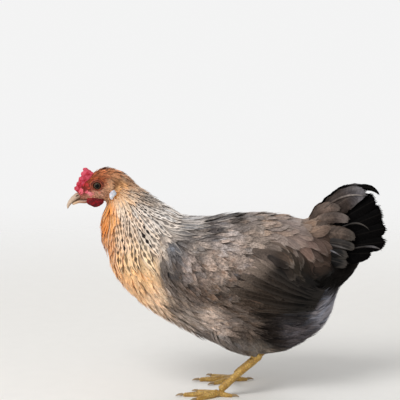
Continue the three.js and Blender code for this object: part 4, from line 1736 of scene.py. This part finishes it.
@dataclass
class WingFlights:
    """The long flight feathers of the folded wing, each tucked under the one above it."""

    flesh: Flesh
    count: int = 9
    lowest: tuple[Pair, Pair] = ((-26, 130), (117, 122))  # x, z of the root and the tip
    highest: tuple[Pair, Pair] = ((42, 206), (129, 149))
    width: Pair = (16.0, 19.0)  # of the lowest and the highest
    step: float = 0.55 * MM  # height from one feather to the next
    outside: float = 85 * MM  # a distance from the middle plane that is beyond the wing
    stops: tuple[float, ...] = (0.08, 0.27, 0.8)  # shares of the length that have these colours
    low_colours: tuple[str, ...] = ("#4a3d33", "#4a3d33", "#0f0e0d")
    high_colours: tuple[str, ...] = ("#85766b", "#1f1c1a", "#0d0c0c")
    seed: int = 23
    reach: float = 1.02  # length over the way from root to tip
    pull: tuple[float, float, float] = (0.02, 0.0, -0.003)  # m, steadies a feather near its tip
    habit: Habit = Habit(
        cut=Cut(0.2, 0.03, camber=0.1, rows=16, columns=8),
        turn=0.8, lift=1.35, ruffle=0.03, roll=0.02, stiff=True,
    )  # fmt: skip

    def build(self, side: Side) -> None:
        """Makes the flights of one wing.

        Args:
            side: which wing.
        """
        share = np.linspace(0, 1, self.count)[:, None]
        low, high = (np.array(ends, float) * MM for ends in (self.lowest, self.highest))
        starts, targets = (
            np.insert(low[end] * (1 - share) + high[end] * share, 1, side.value * self.outside, 1)
            for end in (0, 1)
        )
        places, normals = self.flesh.snap(starts)

        def way(points: np.ndarray, up: np.ndarray) -> np.ndarray:
            """Points each feather at its own tip, along the skin."""
            ahead = unit(targets - points) * [1.0, 0.0, 1.0] + np.array(self.pull)
            return unit(ahead - up * (ahead * up).sum(1, keepdims=True))

        layer = FeatherLayer(self.flesh, np.random.default_rng(self.seed))
        length = np.linalg.norm(targets - places, axis=1) * self.reach
        width = (self.width[0] + (self.width[1] - self.width[0]) * share[:, 0]) * MM
        height = self.step * np.arange(self.count)
        vanes = layer.lay(places, normals, length, width, height, self.habit, way)
        vanes.strips = True
        self._colour(vanes, share)
        piece = vanes.build("flights_" + side.label)
        apply_modifier(piece, "SOLIDIFY", thickness=0.4 * MM, offset=-1.0)
        finish_piece(piece, FLIGHT.material(), "wing_feathers")

    def _colour(self, vanes: Vanes, share: np.ndarray) -> None:
        """Colours the flights, from stippled brown at their roots to near black at their tips.

        Args:
            vanes: the flights.
            share: how far up the wing each one lies.
        """
        _, v = Vanes.grid(self.habit.cut)
        low, high = (shades(v, self.stops, tints) for tints in (self.low_colours, self.high_colours))
        differ = np.exp(np.random.default_rng(self.seed).normal(0, 0.2, (self.count, 1, 1)))
        vanes.colour = (low * (1 - share[..., None]) + high * share[..., None]) * differ
        vanes.marks = np.hstack([share * 0, 1.0 - 0.6 * share, share * 0 + 0.3])


@dataclass(frozen=True)
class TailFeather:
    """One feather of the tail's fan, in the plane of its side.

    Places are x, z in millimetres in that plane, before it leans outwards.
    """

    root: Pair
    bend: Pair
    tip: Pair
    width: float
    out: float  # how far it lies from the middle plane, in millimetres
    colours: tuple[str, str, str]  # near its root, in its middle and near its tip
    point: float = 0.12  # 0 is a round end, 1 is lance-shaped


@dataclass
class Tail:
    """The tail: on each side a leaning fan of main feathers, with coverts over it."""

    root: Pair = (101.5, 196.0)
    lean: float = 17.0  # degrees
    ridge: float = 52.0  # degrees above the horizon, of the line that the fan leans about
    rises: tuple[float, ...] = (52, 43.6, 34.6, 25, 15.3, 6.2, -2)
    lengths: tuple[float, ...] = (110, 120, 124.5, 124, 122, 118, 98)
    width: float = 29.0
    bow: Pair = (5.0, 1.2)  # how far the first feather bows, and how much less each next one
    out: Pair = (5.2, 0.7)  # the same for its distance from the middle plane
    least_out: float = 0.3  # mm
    wavy: Pair = (0.02, 0.06)  # share by which the sides waver, and how much more at the rim
    swept: float = 0.55  # share of the half width by which the sides of the tip fall back
    ragged: Pair = (0.5, 1.6)  # mm, how uneven the end of the vane and its loose barbs are
    ragged_from: float = 0.8  # share of the length
    curl: Pair = (0.5, 1.5)  # mm, the least and the most by which a tip curls outward
    differ: float = 0.08  # how far the feathers differ in brightness
    marks: tuple[float, float, float] = (0.0, 0.6, 0.15)  # dashes, mottling and pale edge
    cut: Cut = Cut(0.12, 0.035, camber=0.16, rows=18, columns=8)
    stops: tuple[float, ...] = (0.35, 0.65, 0.95)  # shares of the length that have a colour
    seed: int = 31
    black: tuple[str, str, str] = ("#0d0b0b", "#0a0909", "#070606")
    coverts: tuple[tuple[Any, ...], ...] = (
        # The top covert, greyer towards its tip: a painted sheen.
        ((113, 206), (151.5, 257), (192, 272), 32, 10.6, ("#2a211c", "#3f3530", "#59575c")),
        # A thin pale strip over the top covert: a painted highlight arc.
        ((134, 252), (160, 268.5), (189, 270), 2.2, 12.6, ("#4d433e", "#857b76", "#77726f"), 0.9),
        ((110, 216), (130, 250), (157, 250), 15, 12.0, ("#4a3d36", "#6a5a51", "#3f3530")),
        ((110, 222), (138, 239), (169, 236), 17, 12.8, ("#75645a", "#463b35", "#5c524e")),
        ((108, 210), (146, 220), (178, 211), 19, 11.4, ("#5a4c43", "#5e5047", "#2a2420")),
        ((150, 222), (176, 233), (196, 224), 2.4, 9.4, ("#0f0d0d", "#3d3936", "#1f1c1b"), 0.9),
        ((114, 202), (148, 206), (178, 198), 15, 11.0, ("#1d1917", "#332e2b", "#171514")),
        ((120, 208), (150, 202), (174, 196), 2.6, 11.8, ("#1c1918", "#565251", "#201d1c"), 0.9),
        ((118, 202), (142, 196), (160, 187), 2.2, 11.6, ("#2a2625", "#77757a", "#2a2726"), 0.9),
        ((172, 198), (197, 202), (213, 197), 2.6, 8.2, ("#0f0d0d", "#5a5759", "#3a3736"), 0.9),
        ((110, 194), (138, 196), (168, 186), 20, 9.8, ("#100e0d", "#0f0d0c", "#0c0b0a")),
        ((108, 188), (136, 184), (168, 176), 21, 8.8, ("#100e0d", "#0f0d0c", "#0c0b0b")),
    )
    sickle: TailFeather = TailFeather(
        (146, 258), (182, 281), (208, 271.5), 9.5, 2.4, ("#0d0b0a", "#0a0909", "#080707"), 0.7
    )

    def build(self, side: Side) -> None:
        """Makes the main feathers and the coverts of one side.

        Args:
            side: which side of the tail.
        """
        main = []
        for number, (rise, length) in enumerate(zip(self.rises, self.lengths)):
            angle = math.radians(rise)
            ahead, above = (math.cos(angle), math.sin(angle)), (-math.sin(angle), math.cos(angle))
            bow, out = (first - less * number for first, less in (self.bow, self.out))
            bend, tip = (
                tuple(self.root[i] + ahead[i] * reach + above[i] * rise_by for i in (0, 1))
                for reach, rise_by in ((0.55 * length, bow), (length, -0.4 * bow))
            )
            main.append(TailFeather(self.root, bend, tip, self.width, out, self.black))
        if side is Side.LEFT:
            main.append(self.sickle)
        coverts = [TailFeather(*row) for row in self.coverts]
        for feathers, piece, finish, node, slot in (
            (main, "tail_quills_", BLACK, "tail_feathers_", "tail_feathers"),
            (coverts, "tail_cover_", GLOSSY, "tail_coverts_", "covert_feathers"),
        ):
            fan = self._fan(side, feathers, piece + side.label)
            finish_piece(fan, finish.material(), slot, node + side.label)

    def _fan(self, side: Side, feathers: Sequence[TailFeather], name: str) -> bpy.types.Object:
        """Makes one fan.

        Args:
            side: which side of the tail.
            feathers: its feathers.
            name: the piece's name.

        Returns:
            The piece, not dressed yet.
        """
        rng = np.random.default_rng(self.seed)
        count = len(feathers)
        u, v = Vanes.grid(self.cut)
        t = v[:, None]
        points, place, colour = np.empty((3, count, len(u), 3))
        for number, feather in enumerate(feathers):
            a, b, c = (np.array(p, float) for p in (feather.root, feather.bend, feather.tip))
            control = 2 * b - (a + c) / 2
            centre = (1 - t) ** 2 * a + 2 * t * (1 - t) * control + t**2 * c
            tangent = unit((1 - t) * (control - a) + t * (c - control))
            normal = np.stack([-tangent[:, 1], tangent[:, 0]], 1)
            half = Vanes.outline(replace(self.cut, point=feather.point), v) * feather.width / 2
            ragged = rng.uniform(-1, 1, len(u))
            across = u * half * (1 + (self.wavy[0] + self.wavy[1] * np.abs(u)) * ragged)
            drop = u**2 * v**2 * self.swept * feather.width / 2
            uneven = np.where(v >= 1, self.ragged[1], self.ragged[0])
            drop = drop + uneven * ragged * (v > self.ragged_from)
            flat = centre + normal * across[:, None] - tangent * drop[:, None]
            curl = rng.uniform(*self.curl) * v**3 - self.cut.camber * half * u**2
            points[number, :, 0], points[number, :, 2] = flat.T
            points[number, :, 1] = side.value * np.maximum(feather.out + curl, self.least_out)
            place[number] = np.stack([across, v * np.linalg.norm(c - a), v], 1)
            colour[number] = shades(v, self.stops, feather.colours)
            colour[number] *= math.exp(rng.normal(0, self.differ))
        ridge = math.radians(self.ridge)
        axis = Vector((math.cos(ridge), 0, math.sin(ridge)))
        turn = Matrix.Rotation(side.value * math.radians(self.lean), 3, axis)
        pivot = np.array([self.root[0], 0, self.root[1]])
        fan = Vanes(
            cut=self.cut,
            points=((points - pivot) @ np.array(turn).T + pivot) * MM,
            place=place,
            colour=colour,
            marks=np.tile(self.marks, (count, 1)),
            seed=rng.random(count),
            patch=rng.random((count, 2)),
            strips=True,
        ).build(name)
        if side is Side.LEFT:
            with editing(fan):
                bpy.ops.mesh.flip_normals()
        apply_modifier(fan, "SOLIDIFY", thickness=0.5 * MM, offset=-1.0)
        return fan


# ---------------------------------------------------------------- head
@dataclass(frozen=True)
class Fold:
    """A fold of bare skin on the head, made from a solid. Its sizes are in millimetres."""

    node: str
    piece: str
    finish: FleshyFinish  # its name is also that of the slot
    sink_reach: float  # vertices no further than this from the head are pushed into it
    sink_depth: float
    rounds: int  # how many times it is smoothed
    lump: float  # the size of a lump of its surface
    lump_height: float
    plump: float = 0.0  # how far it swells before it is rebuilt
    settle: float = 0.0  # and afterwards


# The comb is painted paler near its top, as painted light from above.
COMB = Fold(
    "comb", "comb_flesh", FleshyFinish("comb_skin", "#d8566a", "#b3182c", pale_above=299 * MM),
    1.2, 2.6, 10, 4.0, 1.7, plump=1.0, settle=-0.5,
)  # fmt: skip
WATTLE = Fold(
    "wattle_", "wattle_flesh_", FleshyFinish("wattle_skin", "#8c0f18", "#55080e", 1.6, bump=0.3),
    1.0, 2.0, 5, 5.0, 1.4,
)  # fmt: skip
LOBE = Fold(
    "ear_lobe_", "lobe_flesh_", FleshyFinish("lobe_skin", "#eef0f6", "#c9ccd6", 1.2, bump=0.3),
    0.8, 1.2, 3, 4.0, 0.8, settle=0.5,
)  # fmt: skip


@dataclass
class Head:
    """Comb, wattles, ear lobes, beak, eyes and lids."""

    flesh: Flesh
    fold_voxel: float = 0.65 * MM
    beak_voxel: float = 0.55 * MM
    beak_sink: Pair = (0.8 * MM, 1.6 * MM)  # reach and depth
    nostril: Pair = (-203.0, 271.0)  # mm
    nostril_size: Pair = (2.6, 0.9)  # mm, half its length and half its height
    nostril_depth: float = 1.7  # mm
    slant: Pair = (0.9, 0.44)  # cosine and sine of its slant, nearly
    ridge: Pair = (0.3, 1.9)  # mm, the middle of the ridge over the nostril, seen from it
    ridge_size: Pair = (3.4, 1.0)  # mm, as for the nostril
    ridge_height: float = 0.45  # mm
    beak_side: float = 0.2  # nostril and ridge are where the normal turns so far to the side
    mouth: Pair = (0.35, 0.75)  # how far down or up the normal turns, where the painted shade of the mouth's seam begins
    mouth_edge: Pair = (-193 * MM, -203 * MM)  # over these places the lower beak rises
    mouth_rise: float = 1.5 * MM
    lid_reach: float = 6.2 * MM
    lid_thick: float = 0.85 * MM
    lid_out: float = 3.4 * MM  # from the middle of the eyeball
    lid_outer: tuple[float, float, float] = (1.32, 1.1, 1.3 * MM)  # wider, thicker, deeper
    lid_pinch: float = 0.06  # how far the corners are drawn out and the middle is flattened
    lid_wrinkle: float = 0.025
    lid_wrinkles: int = 9
    lid_turn: Pair = (0.16, 0.22)  # how fast the side of the head turns away, ahead and above

    def build(self) -> None:
        """Makes every piece of the head."""
        self._fold(COMB, "")
        self._upper_beak()
        self._lower_beak()
        for side in Side:
            self._fold(WATTLE, side.label)
            self._fold(LOBE, side.label)
            self._eye(side)
            self._lids(side)

    def _sink(self, piece: bpy.types.Object, reach: float, depth: float) -> None:
        """Pushes the part of a piece that meets the head into the skin.

        Args:
            piece: the piece.
            reach: how near the head's solid a vertex is moved.
            depth: how far it is moved.
        """
        places = coordinates(piece)
        for row, point in enumerate(places):
            place, normal, _, gap = self.flesh.solid_tree.find_nearest(point)
            inside = (Vector(point) - place).dot(normal) < 0
            if gap < reach or inside:
                places[row] -= np.array(normal) * depth
        move_vertices(piece, places)

    def _fold(self, fold: Fold, label: str) -> None:
        """Makes the comb, a wattle or an ear lobe.

        Args:
            fold: which of them.
            label: the side's name, or nothing for the comb.
        """
        piece = copy_node(fold.node + label, fold.piece + label)
        self._sink(piece, fold.sink_reach * MM, fold.sink_depth * MM)
        swell(piece, fold.plump * MM)
        remesh(piece, self.fold_voxel, fold.rounds)
        swell(piece, fold.settle * MM)
        lumps = bpy.data.textures.new(piece.name + "_lumps", "CLOUDS")
        lumps.noise_scale = fold.lump * MM
        lumps.noise_depth = 2
        apply_modifier(
            piece, "DISPLACE", texture=lumps, strength=fold.lump_height * MM, mid_level=0.5,
            texture_coords="LOCAL",
        )  # fmt: skip
        finish_piece(piece, fold.finish.material(), fold.finish.name, fold.node + label)

    def _upper_beak(self) -> None:
        """Makes the upper half of the beak, with nostrils and the dark line of the mouth, both in
        painted shade.
        """
        beak = copy_node("beak_upper", "beak_top")
        self._sink(beak, *self.beak_sink)
        remesh(beak, self.beak_voxel, 5)
        places, normals = coordinates(beak), vertex_normals(beak)
        cos, sin = self.slant
        offset = (places[:, [0, 2]] / MM - self.nostril) @ np.array([[cos, sin], [-sin, cos]]).T
        pit = np.exp(-((offset / self.nostril_size) ** 2).sum(1))
        ridge = np.exp(-(((offset - self.ridge) / self.ridge_size) ** 2).sum(1))
        rise = (self.ridge_height * ridge - self.nostril_depth * pit) * MM
        rise *= np.abs(normals[:, 1]) > self.beak_side
        move_vertices(beak, places + normals * rise[:, None])
        # Painted shade: dark in the nostril pits, and where the beak turns down to the mouth's seam.
        dark = 0.95 * pit + 0.6 * smoothstep(*self.mouth, -normals[:, 2])
        horn = HornFinish("beak_horn", "#c8ae96", "#94684f", -195 * MM, -209 * MM)
        self._finish_beak(beak, dark, horn, "beak_upper")

    def _lower_beak(self) -> None:
        """Makes the lower half of the beak, which closes against the edge of the upper one."""
        beak = copy_node("beak_lower", "beak_bottom")
        self._sink(beak, *self.beak_sink)
        swell(beak, 0.35 * MM)
        remesh(beak, self.beak_voxel, 4)
        places = coordinates(beak)
        places[:, 2] += self.mouth_rise * smoothstep(*self.mouth_edge, places[:, 0])
        move_vertices(beak, places)
        # Painted shade along the mouth's seam, where the lower beak turns up to the upper one.
        dark = 0.7 * smoothstep(*self.mouth, vertex_normals(beak)[:, 2])
        horn = HornFinish("beak_horn_lower", "#dcb893", "#9a6244", -192 * MM, -206 * MM)
        self._finish_beak(beak, dark, horn, "beak_lower")

    def _finish_beak(
        self, beak: bpy.types.Object, dark: np.ndarray, horn: HornFinish, node: str
    ) -> None:
        """Dresses half of the beak.

        Args:
            beak: the piece.
            dark: how much painted shade each vertex has: in the nostrils and along the mouth.
            horn: its finish.
            node: the solid that it stands for.
        """
        mark_vertices(beak.data, "Stain", np.clip(dark, 0, 1)[:, None])
        finish_piece(beak, horn.material(), "horn", node)

    def _eye(self, side: Side) -> None:
        """Makes an eyeball with a raised cornea.

        Args:
            side: which eye.
        """
        low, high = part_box("eye_" + side.label)
        centre, radius = (low + high) / 2, (high.z - low.z) / 2
        bpy.ops.object.select_all(action="DESELECT")
        bpy.ops.mesh.primitive_uv_sphere_add(segments=40, ring_count=24, radius=radius * 0.97)
        ball = bpy.context.object
        ball.name = ball.data.name = "eyeball_" + side.label
        places = coordinates(ball)[:, [0, 2, 1]] * [1, side.value, 1]
        away = np.hypot(places[:, 0], places[:, 2]) / radius
        front = places[:, 1] * side.value > 0
        places[:, 1] -= side.value * 0.5 * MM * front * smoothstep(0.55, 0.95, away)
        move_vertices(ball, places + np.array(centre))
        with editing(ball):
            bpy.ops.mesh.normals_make_consistent(inside=False)
        finish = EyeFinish("hen_eye", tuple(centre))
        finish_piece(ball, finish.material(), "eye", "eye_" + side.label)

    def _lids(self, side: Side) -> None:
        """Makes the lids: two soft folds round the eye, pinched to corners ahead and behind.

        Args:
            side: which eye's.
        """
        low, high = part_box("eye_" + side.label)
        centre = (low + high) / 2
        bpy.ops.object.select_all(action="DESELECT")
        inner = (self.lid_reach, self.lid_thick, 0.0)
        wider, thicker, deeper = self.lid_outer
        outer = (self.lid_reach * wider, self.lid_thick * thicker, deeper)
        folds = []
        for number, (reach, thick, sink) in enumerate((inner, outer)):
            bpy.ops.mesh.primitive_torus_add(
                major_radius=reach, minor_radius=thick, major_segments=56, minor_segments=12
            )
            fold = bpy.context.object
            places = coordinates(fold)[:, [0, 2, 1]]
            angle = np.arctan2(places[:, 2], places[:, 0])
            pinch = 1 - self.lid_pinch * np.sin(angle) ** 2 + self.lid_pinch * np.cos(angle) ** 6
            wrinkle = 1 + self.lid_wrinkle * np.sin(self.lid_wrinkles * angle + number)
            places[:, [0, 2]] *= (pinch * wrinkle)[:, None]
            # The folds follow the head, which turns away ahead of the eye and above it.
            ahead, above = self.lid_turn
            bow = (places[:, 0] * ahead - np.maximum(places[:, 2], 0) * above) - sink
            places[:, 1] = side.value * (self.lid_out + bow + places[:, 1])
            move_vertices(fold, places + np.array(centre))
            folds.append(fold)
        lids = join(folds, "eyelids_" + side.label)
        with editing(lids):
            bpy.ops.mesh.normals_make_consistent(inside=False)
        finish = FleshyFinish("lid_skin", "#a8553c", "#6e3527", grain=0.9, bump=0.5)
        finish_piece(lids, finish.material(), "face_skin")


# ---------------------------------------------------------------- legs
@dataclass
class Leg:
    """A scaled shank and its four toes as one piece, and its claws."""

    side: Side
    foot: Pair  # x, y in millimetres
    hock: Pair
    hock_height: float = 55.0
    foot_height: float = 8.5
    toe_top: float = 13 * MM  # the shank begins above this height
    voxel: float = 0.9 * MM
    claw_voxel: float = 0.5 * MM
    scute: float = 4.4 * MM  # length of a large scale on the front of the shank
    toe_scute: float = 3.2 * MM
    groove: float = 0.5 * MM
    groove_width: float = 0.4 * MM
    knob: float = 5.6 * MM  # half the width of the hock
    tibia: float = 32.0 * MM  # how far the leg goes on into the feathers of the thigh
    ground: float = 0.55 * MM  # soles are flat below this height

    def build(self) -> None:
        """Makes the leg and the claws."""
        label = self.side.label
        nodes = ["shank_" + label] + [f"toe_{label}_{n}" for n in range(1, 5)]
        copies = [copy_node(node, "part_" + node) for node in nodes]
        for copy in copies:
            swell(copy, 0.25 * MM)
        leg = join([*copies, self._hock()], "leg_" + label)
        remesh(leg, self.voxel, 10)
        places, normals = coordinates(leg), vertex_normals(leg)
        move_vertices(leg, self._flatten(places + normals * self._scales(places, normals)[:, None]))
        finish_piece(leg, ScaleFinish().material(), "leg_scales", *nodes)
        nodes = [f"claw_{label}_{n}" for n in range(1, 5)]
        claws = join([copy_node(node, "part_" + node) for node in nodes], "claws_" + label)
        remesh(claws, self.claw_voxel, 3)
        move_vertices(claws, self._flatten(coordinates(claws)))
        horn = HornFinish("claw_horn", "#b79b72", "#7c6546", -0.3, 0.3)
        finish_piece(claws, horn.material(), "claw_horn", *nodes)

    def _hock(self) -> bpy.types.Object:
        """Makes the rounded hock and the leg above it, which goes up inside the thigh."""
        hock = np.array([*self.hock, self.hock_height]) * MM
        thigh = coordinates(frame["nodes"]["thigh_" + self.side.label]).mean(0)
        upward = Vector(unit(thigh - hock))
        bpy.ops.object.select_all(action="DESELECT")
        bpy.ops.mesh.primitive_cylinder_add(
            vertices=20,
            radius=self.knob,
            depth=self.tibia,
            location=Vector(hock) + upward * (self.tibia / 2 - self.knob),
            rotation=upward.to_track_quat("Z", "Y").to_euler(),
        )
        piece = bpy.context.object
        apply_modifier(piece, "BEVEL", width=0.6 * self.knob, segments=3)
        return piece

    def _scales(self, places: np.ndarray, normals: np.ndarray) -> np.ndarray:
        """Works out how far each vertex rises or falls for the scales.

        Args:
            places: the leg's vertices.
            normals: their normals.

        Returns:
            A height for each vertex.
        """
        foot = np.array([*self.foot, self.foot_height]) * MM
        top = np.array([*self.hock, self.hock_height]) * MM
        axis = unit(top - foot)
        along = (places - foot) @ axis
        front = unit(np.cross(axis, [0.0, 1.0, 0.0]))
        facing = normals @ (front if front[0] < 0 else -front)
        reach = np.linalg.norm(places[:, :2] - foot[:2], axis=1)
        on_shank = places[:, 2] > self.toe_top
        # Scales on the back of the shank are half as long and set between those in front.
        scute = np.where(facing > -0.2, self.scute, self.scute / 2)
        size = np.where(on_shank, scute, self.toe_scute)
        count = np.where(on_shank, along, reach) / size
        off = count - np.round(count)
        seam = np.exp(-((np.abs(off) * size / self.groove_width) ** 2))
        bulge = np.cos(off * np.pi * 2) * -0.12 * MM
        upper = np.where(on_shank, 1.0, smoothstep(-0.1, 0.4, normals[:, 2]))
        return (bulge - self.groove * seam) * upper

    def _flatten(self, places: np.ndarray) -> np.ndarray:
        """Rests the lowest part of a piece flat on the floor."""
        places[places[:, 2] < self.ground, 2] = 0.0
        return places


LEGS = (  # the side, and x, y of the foot and the hock in millimetres
    (Side.LEFT, (-10.5, -41), (41.5, -39)),
    (Side.RIGHT, (11.5, 41), (63.5, 39)),
)


# ---------------------------------------------------------------- studio
@dataclass
class Studio:
    """Pale floor, soft light and the camera."""

    target: Vector = field(default_factory=lambda: Vector((-0.0368, 0.0, 0.264)))
    distance: float = 3.0
    elevation: float = 10.0  # degrees
    lens: float = 198.97  # mm
    world: float = 0.44
    sensor: float = 36.0  # mm
    floor: float = 60.0  # m
    lights: tuple[tuple[str, tuple[float, ...], float, float], ...] = (
        # name, place in metres, power in watts, size in metres
        ("key", (-1.2, -1.7, 2.3), 48.0, 1.4),
        ("fill", (-2.0, -2.0, 0.8), 16.0, 2.0),
        ("back", (0.6, 2.4, 1.8), 24.0, 2.0),
    )

    def build(self) -> None:
        """Makes the floor, the lights, the world and the camera."""
        scene = bpy.context.scene
        scene.view_settings.view_transform = "Standard"
        bpy.ops.object.select_all(action="DESELECT")
        bpy.ops.mesh.primitive_plane_add(size=self.floor)
        floor = bpy.context.object
        floor.name = "studio_floor"
        floor.data.materials.append(StudioFinish().material())
        for light in self.lights:
            self._light(*light)
        self._world(scene)
        camera = bpy.data.objects.new("camera", bpy.data.cameras.new("camera"))
        scene.collection.objects.link(camera)
        angle = math.radians(self.elevation)
        away = Vector((0.0, -math.cos(angle), math.sin(angle)))
        camera.location = self.target + away * self.distance
        camera.rotation_euler = away.to_track_quat("Z", "Y").to_euler()
        camera.data.lens = self.lens
        camera.data.sensor_width = self.sensor
        scene.camera = camera

    def _light(self, name: str, place: tuple[float, ...], power: float, size: float) -> None:
        """Adds a soft square light that faces the hen.

        Args:
            name: its name.
            place: where it stands.
            power: watts.
            size: its edge.
        """
        data = bpy.data.lights.new(name, "AREA")
        data.energy, data.size = power, size
        light = bpy.data.objects.new(name, data)
        light.location = place
        away = Vector(place) - Vector((0, 0, 0.15))
        light.rotation_euler = away.to_track_quat("Z", "Y").to_euler()
        bpy.context.scene.collection.objects.link(light)

    def _world(self, scene: bpy.types.Scene) -> None:
        """Lights the room evenly, and shows it as near white behind the hen.

        Args:
            scene: the scene.
        """
        scene.world = bpy.data.worlds.new("studio")
        scene.world.use_nodes = True
        scene.world.node_tree.nodes.clear()
        add = partial(add_node, scene.world.node_tree)
        rays = add("LightPath").outputs
        seen = add("Math", rays["Is Camera Ray"], rays["Is Glossy Ray"], operation="MAXIMUM")
        seen = add("Math", seen, rays["Is Transmission Ray"], operation="MAXIMUM")
        strength = add("MapRange", seen, 0.0, 1.0, self.world, 0.9)
        add("OutputWorld", add("Background", (1.0, 1.0, 1.0, 1.0), strength))


def main() -> None:
    """Builds the hen and the studio."""
    logging.basicConfig(level=logging.INFO, format="%(name)s: %(message)s")
    Studio().build()
    flesh = Flesh()
    flesh.build()
    Coat(flesh).build()
    for side in Side:
        WingFlights(flesh).build(side)
        Tail().build(side)
    Head(flesh).build()
    for leg in LEGS:
        Leg(*leg).build()
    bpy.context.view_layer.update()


if __name__ == "__main__":
    main()
